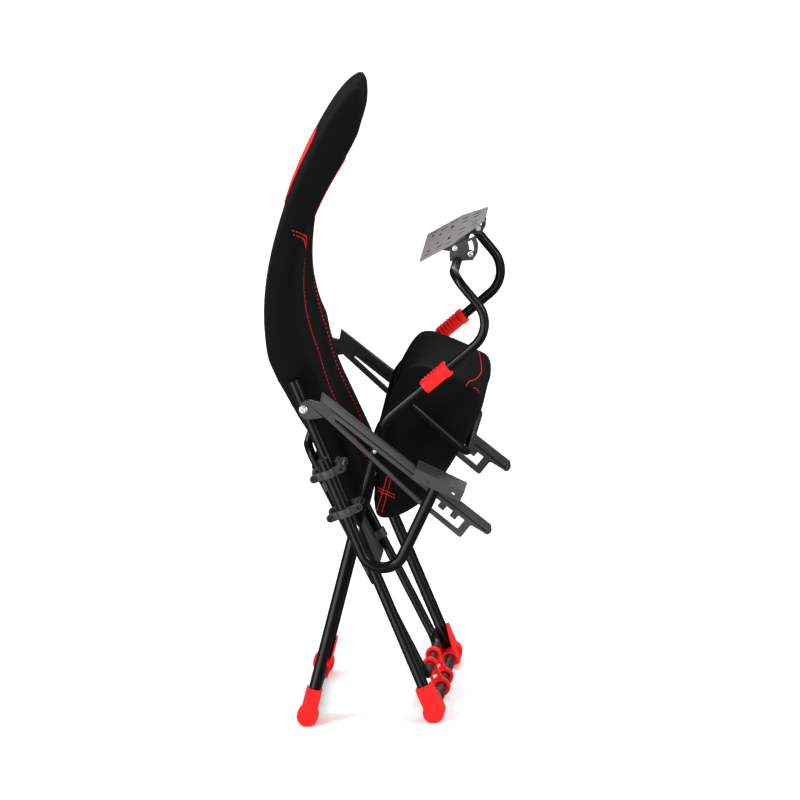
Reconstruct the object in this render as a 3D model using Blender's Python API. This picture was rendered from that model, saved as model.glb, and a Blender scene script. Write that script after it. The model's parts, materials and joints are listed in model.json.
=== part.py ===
"""Folding racing-seat cockpit, shown folded for storage.

A reclined back on a tubular frame and a seat pan on a second frame cross at one
pivot like scissors.  The second frame carries a telescoping hoop with a tilting
plate for a steering wheel.  Two slotted arms hold the recline, a bent tube on the
right carries a shifter bracket, and a tube loop with a pedal plate hangs on the
front cross tube.  Metres, +X is the seat's forward side, +Y its left, +Z up.
"""
from math import atan2, cos, pi, radians, sin, tan

import bmesh
import bpy
from mathutils import Matrix, Vector
from mathutils.geometry import convex_hull_2d, tessellate_polygon

# Where the fold pivot stands in the finished object's frame
PIVOT_X = -0.06013
MID_PLANE_Y = 0.0225
PIVOT_HEIGHT = 0.381

# Main tubes
FRAME_TUBE_R = 0.011
HOOP_TUBE_R = 0.009
PEDAL_TUBE_R = 0.0085
BRACE_TUBE_R = 0.008
TUBE_SIDES = 16
HIDDEN_SIDES = 12
BOLT_SIDES = 12
BEND_STEPS = 5

# Frame angles from vertical and side spacing from the mid plane
BACK_LEAN = 19.0
LEG_LEAN = 17.8
BACK_TUBE_Y = 0.275
LEG_TUBE_Y = 0.246
CROSS_TUBE_Z = 0.0195

# Gaps: between touching pieces, and round turning or sliding ones
SEAT_GAP = 0.0003
RUN_GAP = 0.0004

# Foot caps
CAP_HEIGHT = 0.072
CAP_WIDTH = 0.030
CAP_DEPTH = 0.034
CAP_WING = 0.085
CAP_FOOT_R = 0.020
CAP_SOCKET_START = 0.013
CAP_HEEL_STEP = 0.0015
HEEL_SIDES = 24

# Upper leg bend, lock sleeve and telescoping hoop
UPPER_RISE = 37.0
UPPER_BEND_R = 0.080
SLEEVE_START = (0.145, 0.637)
SLEEVE_LENGTH = 0.061
SLEEVE_R = 0.014
SLEEVE_RIBS = 6
SLEEVE_RIB_DEPTH = 0.0014
LEG_END_IN_SLEEVE = 0.032
HOOP_INSERT = 0.080
SOCKET_SPARE = 0.004
HOOP_FRONT_CORNER = 0.1812
HOOP_FRONT_BEND_R = 0.058
HOOP_TOP = (0.2140, 0.8510)
HOOP_TOP_BEND_R = 0.034

# Wheel plate, its tabs and the quadrants that hold them
PLATE_REAR = (0.143, 0.856)
PLATE_TILT = 26.2
PLATE_LENGTH = 0.136
PLATE_KINK = 0.0755
PLATE_HALF = 0.125
PLATE_FRONT_HALF = 0.060
PLATE_THICK = 0.003
PLATE_SLOT_WIDTH = 0.006
# Slots of one half of the plate: forward place, side place, length, angle
PLATE_SLOTS = (
    (0.016, 0.100, 0.018, 0), (0.016, 0.070, 0.014, 90), (0.040, 0.085, 0.018, 45),
    (0.062, 0.100, 0.014, 0), (0.060, 0.052, 0.020, 90), (0.088, 0.068, 0.016, 0),
    (0.088, 0.034, 0.014, 0), (0.114, 0.052, 0.016, 0), (0.114, 0.024, 0.014, 0),
    (0.034, 0.038, 0.012, 90),
)
TILT_PIVOT = (0.212, 0.8770)
TILT_LOCK_R = 0.031
TILT_LOCK_ANGLE = -24.0
TILT_SLOT_TOP = 23.0
QUADRANT_Y = 0.1228
# Quadrant outline measured from its pivot
QUADRANT_OUTLINE = (
    (-0.0088, 0.0020), (-0.0115, -0.0100), (-0.0115, -0.0250), (0.0320, -0.0250), (0.0420, -0.0110),
    (0.0445, 0.0050), (0.0400, 0.0220), (0.0200, 0.0140), (0.0040, 0.0075), (-0.0040, 0.0075),
)
TILT_HEAD_R = 0.0058
TAB_PIVOT_R = 0.008
TAB_LOCK_R = 0.0075
TAB_EDGE_R = 0.0002
TAB_ON_PLATE = (0.047, 0.112)
BRACKET_THICK = 0.004
TILT_BOLT_R = 0.004

# Recline arms
ARM_PIVOT_Z = 0.618
ARM_SLOPE = -42.0
ARM_INNER_Y = 0.2875
ARM_THICK = 0.013
ARM_TOP = 0.047
ARM_LENGTH = 0.422
ARM_HEAD_R = 0.019
ARM_SLOT_TOP = 0.0235
ARM_POCKETS = (0.305, 0.334, 0.362)
ARM_POCKET_HALF = 0.0075
ARM_TOOTH_TIP = 0.0125
ARM_PIN_R = 0.004
PIN_SHORTFALL = 0.001
PIN_BELOW_SLOT_TOP = 0.0055
# Arm outline in its own plane: u down its length, v up from the pivot line
ARM_HEAD_CENTRE = (0.009, 0.005)
ARM_NECK = ((0.0075, 0.047), (0.017, 0.029))
ARM_UNDER_HEAD = (0.040, 0.0116)
ARM_RAIL_LOW = -0.0085
ARM_RAIL = 0.0085
ARM_LUG_LEAD = 0.022
ARM_LUG_TAIL = 0.0145
ARM_TAIL_LOW = 0.0275
ARM_WINDOW_START = 0.060

# Shifter tube, clamps and shifter bracket on the right side
SHIFTER_Y = 0.336
SHIFTER_TOP_Z = 0.524
SHIFTER_RISE = 28.8
SHIFTER_FOOT_X = 0.092
SHIFTER_FOOT_Z = 0.338
SHIFTER_BEND_R = 0.042
SHIFTER_REACH = 0.158
CLAMP_HEIGHTS = (0.4225, 0.4995)
CLAMP_WIDTH = 0.016
CLAMP_BOLT_OFFSET = 0.0287
CLAMP_STRAP = 0.003
CLAMP_BOLT_R = 0.003
BOX_LENGTH = 0.101
BOX_BACK = 0.048
BOX_HEIGHT = 0.022
BOX_OUTER_Y = 0.3495
BOX_INNER_Y = 0.2635
BOX_WALL = 0.003
BOX_HOLE_R = 0.003
# Bracket holes: distance from the front edge, and from the outer face for those in the top
BOX_TOP_HOLES = ((0.020, 0.030), (0.020, 0.070), (0.060, 0.030), (0.060, 0.070))
BOX_LIP_HOLES = (0.018, 0.070)
PLUG_PROFILE = ((0.0110, 0.0), (0.0110, 0.003), (0.0077, 0.006))

# Seat brace
BRACE_JOIN = (0.1087, 0.6097)
BRACE_CORNER = (0.2130, 0.4955)
BRACE_CORNER_Y = 0.190
BRACE_BEND_R = 0.028

# Pedal loop, its clips and plate
LOOP_FOOT = (0.106, 0.063)
LOOP_LEAN = 23.2
LOOP_LENGTH = 0.496
LOOP_HALF = 0.160
LOOP_BEND_R = 0.030
CLIP_Y = 0.048
CLIP_WIDTH = 0.014
CLIP_WALL = 0.006
CLIP_NECK_ANGLE = 42.0
PEDAL_PLATE_START = 0.202
PEDAL_PLATE_LENGTH = 0.255
PEDAL_PLATE_HALF = 0.165
PEDAL_PLATE_THICK = 0.0025
PEDAL_PLATE_CORNER_R = 0.012
PEDAL_SLOT_SHARES = (0.25, 0.72)
PEDAL_SLOT_SIDES = (-0.09, 0.0, 0.09)
PEDAL_SLOT_LENGTH = 0.050
PEDAL_SLOT_WIDTH = 0.010
SADDLE_PLACES = (0.235, 0.412)
SADDLE_WIDTH = 0.018
SADDLE_WALL = 0.003
SADDLE_EAR = 0.012

# Pivot hardware
PIVOT_BOLT_R = 0.004
BOLT_HEAD_R = 0.0085
BOLT_HEAD = 0.0045
SPACER_R = 0.010

# Back pad: rear face height, its x, half width and thickness, from bottom to top
PAD_STATIONS = (
    (0.400, -0.010, 0.185, 0.042),
    (0.430, -0.025, 0.212, 0.056),
    (0.480, -0.049, 0.216, 0.064),
    (0.530, -0.073, 0.222, 0.069),
    (0.585, -0.101, 0.238, 0.072),
    (0.640, -0.125, 0.256, 0.076),
    (0.672, -0.136, 0.290, 0.077),
    (0.720, -0.150, 0.297, 0.075),
    (0.800, -0.156, 0.297, 0.068),
    (0.880, -0.145, 0.292, 0.066),
    (0.960, -0.116, 0.270, 0.068),
    (1.030, -0.083, 0.235, 0.072),
    (1.088, -0.050, 0.196, 0.070),
    (1.132, -0.022, 0.165, 0.062),
    (1.166, 0.006, 0.132, 0.048),
    (1.187, 0.033, 0.090, 0.022),
)
# One half of a pad section: share of the half width, share of the thickness
PAD_SECTION = (
    (0.50, 0.00), (0.90, 0.06), (0.985, 0.22), (1.00, 0.50), (0.955, 0.84),
    (0.84, 1.00), (0.68, 0.95), (0.54, 0.74), (0.27, 0.64),
)
PAD_CENTRE = 0.62
HOOP_DEPTH = 0.030
HOOP_INSET = 0.022
HOOP_STATIONS = (8, 9, 10, 11, 12)
HOOP_TOP_STATION = 13
HOOP_TOP_HALF = 0.095
FRAME_JOIN_Z = 0.690
HOOP_LEAD = 0.020
TUNNEL_START_Z = 0.581

# Seat pan pad: side outline from the fold round the underside to the front edge
PAN_OUTLINE = (
    (0.0500, 0.3780), (0.0800, 0.3755), (0.1275, 0.4072), (0.1584, 0.4442),
    (0.1900, 0.4900), (0.2214, 0.5373), (0.2385, 0.5680), (0.2445, 0.5890),
    (0.2405, 0.6030), (0.2290, 0.6145), (0.1850, 0.6345), (0.1370, 0.6560),
    (0.1120, 0.6440), (0.0740, 0.5990), (0.0500, 0.5450), (0.0345, 0.4600),
)
PAN_SEAT_POINTS = (11, 12, 13, 14)
PAN_BELLY_POINTS = (2, 3, 4, 5)
PAN_HALF = 0.180
PAN_DISH = 0.024
PAN_BELLY = 0.0081
PAN_CROWN_SHARE = 0.9
PAN_ROUNDING = ((1.0, 0.026), (0.975, 0.010), (0.90, 0.0), (0.62, 0.0), (0.30, 0.0))


def clear_scene():
    for item in list(bpy.data.objects):
        bpy.data.objects.remove(item, do_unlink=True)


def material(name, colour, roughness, metallic=0.0):
    mat = bpy.data.materials.new(name)
    mat.use_nodes = True
    shader = mat.node_tree.nodes["Principled BSDF"]
    shader.inputs["Base Color"].default_value = (*colour, 1.0)
    shader.inputs["Roughness"].default_value = roughness
    shader.inputs["Metallic"].default_value = metallic
    return mat


def joint_empty(name, x, z, parent=None):
    """An empty on a joint axis; x and z are measured from the pivot line and the floor."""
    empty = bpy.data.objects.new(name, None)
    bpy.context.collection.objects.link(empty)
    here = Vector((PIVOT_X + x, MID_PLANE_Y, z))
    empty["place"] = here
    if parent is None:
        empty.location = here
    else:
        empty.parent = parent
        empty.location = here - Vector(parent["place"])
    return empty


def finish_object(name, bm, mat, parent, hidden=False):
    """Turn a bmesh in the cockpit's own coordinates into an object under its joint empty."""
    bmesh.ops.remove_doubles(bm, verts=bm.verts, dist=1e-6)
    bmesh.ops.recalc_face_normals(bm, faces=bm.faces)
    place = Vector(parent["place"])
    bmesh.ops.translate(bm, verts=bm.verts, vec=Vector((PIVOT_X, MID_PLANE_Y, 0.0)) - place)
    mesh = bpy.data.meshes.new(name)
    bm.to_mesh(mesh)
    bm.free()
    mesh.shade_smooth()
    mesh.set_sharp_from_angle(angle=radians(35))
    obj = bpy.data.objects.new(name, mesh)
    bpy.context.collection.objects.link(obj)
    obj.parent = parent
    if mat is not None:
        mesh.materials.append(mat)
    if hidden:
        obj.hide_render = True
        obj.display_type = "WIRE"
    return obj


def combine(obj, cutter, operation):
    tool = obj.modifiers.new(cutter.name, "BOOLEAN")
    tool.operation = operation
    tool.solver = "EXACT"
    tool.object = cutter


def cut(obj, cutter):
    combine(obj, cutter, "DIFFERENCE")


def lerp(start, end, share):
    return start + (end - start) * share


def rounded_path(points, radii, steps=BEND_STEPS, closed=False):
    """Replace each corner of a path by an arc, of one radius or of its own."""
    corners = [Vector(p) for p in points]
    count = len(corners)
    if not isinstance(radii, tuple):
        radii = (radii,) * count
    path = []
    for i, corner in enumerate(corners):
        if not closed and i in (0, count - 1):
            path.append(corner)
            continue
        before = (corners[i - 1] - corner).normalized()
        after = (corners[(i + 1) % count] - corner).normalized()
        half = before.angle(after) / 2
        reach = radii[i] / tan(half)
        centre = corner + (before + after).normalized() * (radii[i] / sin(half))
        first = corner + before * reach - centre
        last = corner + after * reach - centre
        sweep = first.angle(last)
        axis = first.cross(last).normalized()
        for step in range(steps + 1):
            path.append(centre + Matrix.Rotation(sweep * step / steps, 3, axis) @ first)
    return path


def smooth_path(points, steps=3):
    """A Catmull-Rom curve through the points."""
    knots = [Vector(p) for p in points]
    knots = [knots[0] * 2 - knots[1]] + knots + [knots[-1] * 2 - knots[-2]]
    path = []
    for a, b, c, d in zip(knots, knots[1:], knots[2:], knots[3:]):
        for step in range(steps):
            t = step / steps
            path.append(
                (b * 2 + (c - a) * t + (a * 2 - b * 5 + c * 4 - d) * t * t
                 + (b * 3 - a - c * 3 + d) * t ** 3) / 2
            )
    path.append(knots[-2])
    return path


def ring_at(bm, centre, side, up, radius, sides):
    ring = []
    for k in range(sides):
        angle = 2 * pi * (k + 0.5) / sides
        ring.append(bm.verts.new(centre + (side * cos(angle) + up * sin(angle)) * radius))
    return ring


def bridge_rings(bm, one, two):
    count = len(one)
    for k in range(count):
        bm.faces.new((one[k], one[(k + 1) % count], two[(k + 1) % count], two[k]))


def tube_mesh(path, radius, sides=TUBE_SIDES, closed=False):
    """Sweep a circle along a path without twist."""
    bm = bmesh.new()
    count = len(path)
    rings = []
    side = None
    for i, point in enumerate(path):
        back = path[i - 1] if closed or i else path[0]
        ahead = path[(i + 1) % count] if closed or i < count - 1 else path[-1]
        tangent = (ahead - back).normalized()
        if side is None:
            side = tangent.orthogonal().normalized()
            if abs(tangent.y) < 0.9:
                side = tangent.cross(Vector((0, 1, 0))).normalized()
        side = (side - tangent * side.dot(tangent)).normalized()
        rings.append(ring_at(bm, point, side, tangent.cross(side), radius, sides))
    for one, two in zip(rings, rings[1:]):
        bridge_rings(bm, one, two)
    if closed:
        bridge_rings(bm, rings[-1], rings[0])
    else:
        bm.faces.new(rings[0])
        bm.faces.new(list(reversed(rings[-1])))
    return bm


def cylinder_between(start, end, radius, sides=TUBE_SIDES):
    return tube_mesh([Vector(start), Vector(end)], radius, sides)


def turned_mesh(profile, base, axis, sides=TUBE_SIDES, hollow=False):
    """Turn (radius, height) points round an axis; a hollow profile closes on itself."""
    bm = bmesh.new()
    axis = Vector(axis).normalized()
    side = axis.orthogonal().normalized()
    up = axis.cross(side)
    rings = [ring_at(bm, Vector(base) + axis * h, side, up, r, sides) for r, h in profile]
    for one, two in zip(rings, rings[1:]):
        bridge_rings(bm, one, two)
    if hollow:
        bridge_rings(bm, rings[-1], rings[0])
    else:
        bm.faces.new(rings[0])
        bm.faces.new(list(reversed(rings[-1])))
    return bm


def plate_mesh(outline, holes, to_space, low, high):
    """Extrude a flat outline with holes; to_space maps (u, v, w) to a point."""
    bm = bmesh.new()
    loops = [list(outline)] + [list(hole) for hole in holes]
    flat = [[Vector((u, v, 0)) for u, v in loop] for loop in loops]
    triangles = tessellate_polygon(flat)
    bottom = []
    top = []
    spans = []
    for loop in loops:
        spans.append((len(bottom), len(loop)))
        for u, v in loop:
            bottom.append(bm.verts.new(to_space(u, v, low)))
            top.append(bm.verts.new(to_space(u, v, high)))
    for a, b, c in triangles:
        bm.faces.new((bottom[a], bottom[b], bottom[c]))
        bm.faces.new((top[c], top[b], top[a]))
    for start, length in spans:
        for k in range(length):
            i = start + k
            j = start + (k + 1) % length
            bm.faces.new((bottom[i], bottom[j], top[j], top[i]))
    return bm


def circle(u, v, radius, sides=16):
    return [(u + radius * cos(2 * pi * k / sides), v + radius * sin(2 * pi * k / sides))
            for k in range(sides)]


def arc(u, v, radius, start, end, steps):
    angles = [radians(lerp(start, end, k / steps)) for k in range(steps + 1)]
    return [(u + radius * cos(a), v + radius * sin(a)) for a in angles]


def slot(u, v, length, width, angle, steps=4):
    """A round-ended slot centred on (u, v)."""
    turn = radians(angle)
    half = length / 2 - width / 2
    du, dv = half * cos(turn), half * sin(turn)
    return (arc(u + du, v + dv, width / 2, angle - 90, angle + 90, steps)
            + arc(u - du, v - dv, width / 2, angle + 90, angle + 270, steps))


def hull(circles, sides=16):
    points = [p for u, v, r in circles for p in circle(u, v, r, sides)]
    return [points[i] for i in convex_hull_2d(points)]


def in_side_plane(y_sign):
    """Map flat (x, z) outlines into space, with the depth measured outwards along Y."""
    return lambda u, v, w: Vector((u, y_sign * w, v))


def back_line(z):
    return (PIVOT_HEIGHT - z) * tan(radians(BACK_LEAN))


def leg_line(z):
    return (z - PIVOT_HEIGHT) * tan(radians(LEG_LEAN))


SIDES = (("right", -1), ("left", 1))


def through_y(x, z, y_from, y_to, radius, sides=TUBE_SIDES):
    return cylinder_between((x, y_from, z), (x, y_to, z), radius, sides)


def bolt(x, z, y_head, y_tip, sign, radius, head_r=BOLT_HEAD_R, head=BOLT_HEAD, nut=True):
    """A bolt along Y with a domed head outside and, where wanted, a nut on its tip."""
    length = y_head - y_tip
    profile = [(head_r * 0.6, -head), (head_r, -head * 0.45), (head_r, 0.0), (radius, 0.0)]
    if nut:
        profile += [(radius, length - head), (head_r * 0.9, length - head), (head_r * 0.9, length)]
    else:
        profile += [(radius, length)]
    return turned_mesh(profile, (x, sign * y_head, z), (0, -sign, 0), BOLT_SIDES)


def foot_cap(name, lean_line, tube_y, sign, mat, parent):
    """A moulded corner cap: a boot on the leg and a wing along the cross tube."""
    foot_x = lean_line(CROSS_TUBE_Z)
    slope = (lean_line(CROSS_TUBE_Z + 1.0) - foot_x)
    along = Vector((slope, 0, 1)).normalized()
    across = Vector((along.z, 0, -along.x))
    foot = Vector((foot_x, 0, CROSS_TUBE_Z))
    outer = tube_y + CAP_DEPTH / 2
    inner = tube_y - CAP_DEPTH / 2
    top = CAP_HEIGHT - CROSS_TUBE_Z
    low = FRAME_TUBE_R + SADDLE_WALL
    wing = outer - CAP_WING
    outline = [(outer, -low), (outer, top), (inner, top), (wing, low), (wing, -low)]
    space = lambda u, v, w: foot + along * v + across * w + Vector((0, sign * u, 0))
    block = plate_mesh(outline, [], space, -CAP_WIDTH / 2, CAP_WIDTH / 2)
    boot = finish_object(name, block, mat, parent)
    heel = through_y(foot_x, CROSS_TUBE_Z, sign * (inner + CAP_HEEL_STEP), sign * (outer + CAP_HEEL_STEP),
                     CAP_FOOT_R, HEEL_SIDES)
    combine(boot, finish_object(name + "_heel", heel, None, parent, True), "UNION")
    low_z = CROSS_TUBE_Z - CAP_FOOT_R * 2
    below = [(-CAP_WING, low_z), (CAP_WING, low_z), (CAP_WING, 0), (-CAP_WING, 0)]
    floor = plate_mesh(below, [], lambda u, v, w: Vector((foot_x + u, w, v)), -tube_y * 2, tube_y * 2)
    cut(boot, finish_object(name + "_floor", floor, None, parent, True))
    bore = FRAME_TUBE_R + SEAT_GAP
    leg_end = foot + Vector((0, sign * tube_y, 0)) + along * CAP_SOCKET_START
    leg = cylinder_between(leg_end, leg_end + along * CAP_HEIGHT, bore)
    cut(boot, finish_object(name + "_leg_socket", leg, None, parent, True))
    cross = through_y(foot_x, CROSS_TUBE_Z, sign * (outer - CAP_WING - CAP_WIDTH),
                      sign * cross_tube_end(tube_y), bore)
    cut(boot, finish_object(name + "_cross_socket", cross, None, parent, True))
    return boot


def cross_tube_end(tube_y):
    return tube_y - FRAME_TUBE_R - SEAT_GAP * 6


def tube_object(name, path, radius, mat, parent, closed=False):
    return finish_object(name, tube_mesh(path, radius, TUBE_SIDES, closed), mat, parent)


def drill_y(obj, name, x, z, y_from, y_to, radius, parent):
    cut(obj, finish_object(name, through_y(x, z, y_from, y_to, radius), None, parent, True))


def arm_pivot_x():
    return back_line(ARM_PIVOT_Z)


def arm_point(u, v):
    """A point of the recline arm: u runs down its length, v up from its pivot line."""
    turn = radians(ARM_SLOPE)
    return (arm_pivot_x() + u * cos(turn) - v * sin(turn), ARM_PIVOT_Z + u * sin(turn) + v * cos(turn))


def pin_place():
    """The slot pin stands where the leg's centre line crosses the middle of the arm's slot."""
    turn = radians(ARM_SLOPE)
    middle = ARM_SLOT_TOP - PIN_BELOW_SLOT_TOP
    start = arm_point(0, middle)
    lean = tan(radians(LEG_LEAN))
    reach = (leg_line(start[1]) - start[0]) / (cos(turn) - lean * sin(turn))
    return start[0] + reach * cos(turn), start[1] + reach * sin(turn)


def frame_points(station):
    """Rear point, tangent and forward normal of one pad station."""
    points = [Vector((x, 0, z)) for z, x, _, _ in PAD_STATIONS]
    below = points[max(station - 1, 0)]
    above = points[min(station + 1, len(points) - 1)]
    tangent = (above - below).normalized()
    return points[station], tangent, Vector((tangent.z, 0, -tangent.x))


def hoop_path():
    """The part of the back tube inside the pad, up one side, over the top and down the other."""
    half = []
    for station in HOOP_STATIONS:
        rear, _, normal = frame_points(station)
        centre = rear + normal * HOOP_DEPTH
        half.append(centre + Vector((0, PAD_STATIONS[station][2] - HOOP_INSET, 0)))
    rear, _, normal = frame_points(HOOP_TOP_STATION)
    half.append(rear + normal * HOOP_DEPTH + Vector((0, HOOP_TOP_HALF, 0)))
    up = Vector((-tan(radians(BACK_LEAN)), 0, 1)).normalized()
    start = Vector((back_line(FRAME_JOIN_Z), BACK_TUBE_Y, FRAME_JOIN_Z))
    half = [start + up * HOOP_LEAD] + half
    mirrored = [Vector((p.x, -p.y, p.z)) for p in reversed(half)]
    return [start] + smooth_path(half + mirrored) + [Vector((start.x, -start.y, start.z))]


def build_back_frame(parent, black, red, zinc):
    up = Vector((-tan(radians(BACK_LEAN)), 0, 1)).normalized()
    for side, sign in SIDES:
        corner = Vector((back_line(CROSS_TUBE_Z), sign * BACK_TUBE_Y, CROSS_TUBE_Z))
        foot = corner + up * (CAP_SOCKET_START + SEAT_GAP)
        top = Vector((back_line(FRAME_JOIN_Z), sign * BACK_TUBE_Y, FRAME_JOIN_Z)) - up * SEAT_GAP
        tube = tube_object(f"back_tube_{side}", [foot, top], FRAME_TUBE_R, black, parent)
        reach = FRAME_TUBE_R * 2
        drill_y(tube, f"back_pivot_hole_{side}", 0, PIVOT_HEIGHT, sign * (BACK_TUBE_Y - reach),
                sign * (BACK_TUBE_Y + reach), PIVOT_BOLT_R + SEAT_GAP, parent)
        drill_y(tube, f"back_arm_hole_{side}", arm_pivot_x(), ARM_PIVOT_Z, sign * (BACK_TUBE_Y - reach),
                sign * (BACK_TUBE_Y + reach), PIVOT_BOLT_R + SEAT_GAP, parent)
        foot_cap(f"front_foot_{side}", back_line, BACK_TUBE_Y, sign, red, parent)
        outer = BACK_TUBE_Y + FRAME_TUBE_R + SEAT_GAP
        inner = LEG_TUBE_Y - FRAME_TUBE_R - SEAT_GAP - BOLT_HEAD
        pivot = bolt(0, PIVOT_HEIGHT, outer, inner, sign, PIVOT_BOLT_R)
        finish_object(f"pivot_bolt_{side}", pivot, zinc, parent)
        gap_low = LEG_TUBE_Y + FRAME_TUBE_R + SEAT_GAP
        gap_high = BACK_TUBE_Y - FRAME_TUBE_R - SEAT_GAP
        bore = PIVOT_BOLT_R + SEAT_GAP
        ring = [(bore, 0), (SPACER_R, 0), (SPACER_R, gap_high - gap_low), (bore, gap_high - gap_low)]
        spacer = turned_mesh(ring, (0, sign * gap_low, PIVOT_HEIGHT), (0, sign, 0), 16, hollow=True)
        finish_object(f"pivot_spacer_{side}", spacer, black, parent)
        arm_outer = ARM_INNER_Y + ARM_THICK + SEAT_GAP
        tail = BACK_TUBE_Y - FRAME_TUBE_R - SEAT_GAP - BOLT_HEAD
        rivet = bolt(arm_pivot_x(), ARM_PIVOT_Z, arm_outer, tail, sign, PIVOT_BOLT_R)
        finish_object(f"arm_rivet_{side}", rivet, zinc, parent)
    end = cross_tube_end(BACK_TUBE_Y) - SEAT_GAP
    cross = [Vector((back_line(CROSS_TUBE_Z), y, CROSS_TUBE_Z)) for y in (-end, end)]
    tube_object("front_cross_tube", cross, FRAME_TUBE_R, black, parent)
    hoop = tube_mesh(hoop_path(), FRAME_TUBE_R, HIDDEN_SIDES)
    finish_object("back_hoop", hoop, black, parent)


def pad_ring(bm, station):
    rear, _, normal = frame_points(station)
    _, _, half, thick = PAD_STATIONS[station]
    right = [(-w, d) for w, d in reversed(PAD_SECTION)]
    section = [(0, 0)] + list(PAD_SECTION) + [(0, PAD_CENTRE)] + right
    return [bm.verts.new(rear + normal * (d * thick) + Vector((0, w * half, 0))) for w, d in section]


def build_back_pad(parent, fabric):
    bm = bmesh.new()
    rings = [pad_ring(bm, station) for station in range(len(PAD_STATIONS))]
    for one, two in zip(rings, rings[1:]):
        bridge_rings(bm, one, two)
    bm.faces.new(rings[0])
    bm.faces.new(list(reversed(rings[-1])))
    bmesh.ops.triangulate(bm, faces=[f for f in bm.faces if len(f.verts) > 4])
    pad = finish_object("back_pad", bm, fabric, parent)
    bore = FRAME_TUBE_R + RUN_GAP
    ends = [Vector((back_line(TUNNEL_START_Z), y, TUNNEL_START_Z)) for y in (BACK_TUBE_Y, -BACK_TUBE_Y)]
    tunnel = tube_mesh([ends[0]] + hoop_path() + [ends[1]], bore, HIDDEN_SIDES)
    cut(pad, finish_object("back_pad_tunnel", tunnel, None, parent, True))


def shifter_axis_top():
    """Top end of the shifter tube under its bracket, and the way it points."""
    rise = radians(SHIFTER_RISE)
    along = Vector((sin(rise), 0, cos(rise)))
    foot = Vector((SHIFTER_FOOT_X, -SHIFTER_Y, SHIFTER_FOOT_Z))
    return foot + along * SHIFTER_REACH, along


def build_shifter(parent, black, grey, zinc):
    top, along = shifter_axis_top()
    start = Vector((back_line(SHIFTER_TOP_Z), -SHIFTER_Y, SHIFTER_TOP_Z))
    low = SHIFTER_FOOT_Z
    lean = tan(radians(BACK_LEAN))
    rise = tan(radians(SHIFTER_RISE))
    z = (SHIFTER_FOOT_X - rise * low - lean * PIVOT_HEIGHT) / -(lean + rise)
    corner = Vector((back_line(z), -SHIFTER_Y, z))
    path = rounded_path([start, corner, top], SHIFTER_BEND_R)
    tube_object("shifter_tube", path, FRAME_TUBE_R, black, parent)
    up = Vector((-lean, 0, 1)).normalized()
    plug = turned_mesh(PLUG_PROFILE, start + up * SEAT_GAP, up)
    finish_object("shifter_tube_plug", plug, grey, parent)
    build_shifter_box(parent, top, along, grey)
    for label, height in zip(("lower", "upper"), CLAMP_HEIGHTS):
        build_clamp(parent, label, height, grey, zinc)


def build_shifter_box(parent, top, along, grey):
    """A bent plate on the tube's end: a flat top reaching inwards and a lip facing out."""
    forward = Vector((along.z, 0, -along.x))
    base = Vector((top.x, 0, top.z)) + along * SEAT_GAP
    lip = BOX_HEIGHT
    inside = BOX_OUTER_Y - BOX_WALL / 2
    outline = [(BOX_INNER_Y, 0), (BOX_INNER_Y, BOX_WALL), (BOX_OUTER_Y, BOX_WALL),
               (BOX_OUTER_Y, BOX_WALL - lip), (inside, BOX_WALL - lip), (inside, 0)]
    space = lambda u, v, w: base + forward * w + along * v + Vector((0, -u, 0))
    bm = plate_mesh(outline, [], space, -BOX_BACK, BOX_LENGTH - BOX_BACK)
    box = finish_object("shifter_bracket", bm, grey, parent)
    front = BOX_LENGTH - BOX_BACK
    through = along * BOX_HEIGHT
    for k, (reach, depth) in enumerate(BOX_TOP_HOLES):
        at = base + forward * (front - reach) + Vector((0, depth - BOX_OUTER_Y, 0))
        hole = cylinder_between(at - through, at + through, BOX_HOLE_R, BOLT_SIDES)
        cut(box, finish_object(f"bracket_hole_{k}", hole, None, parent, True))
    through = Vector((0, BOX_WALL * 3, 0))
    for k, reach in enumerate(BOX_LIP_HOLES):
        at = base + forward * (front - reach) - along * (lip / 2) - Vector((0, BOX_OUTER_Y, 0))
        hole = cylinder_between(at - through, at + through, BOX_HOLE_R, BOLT_SIDES)
        cut(box, finish_object(f"bracket_lip_hole_{k}", hole, None, parent, True))


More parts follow.
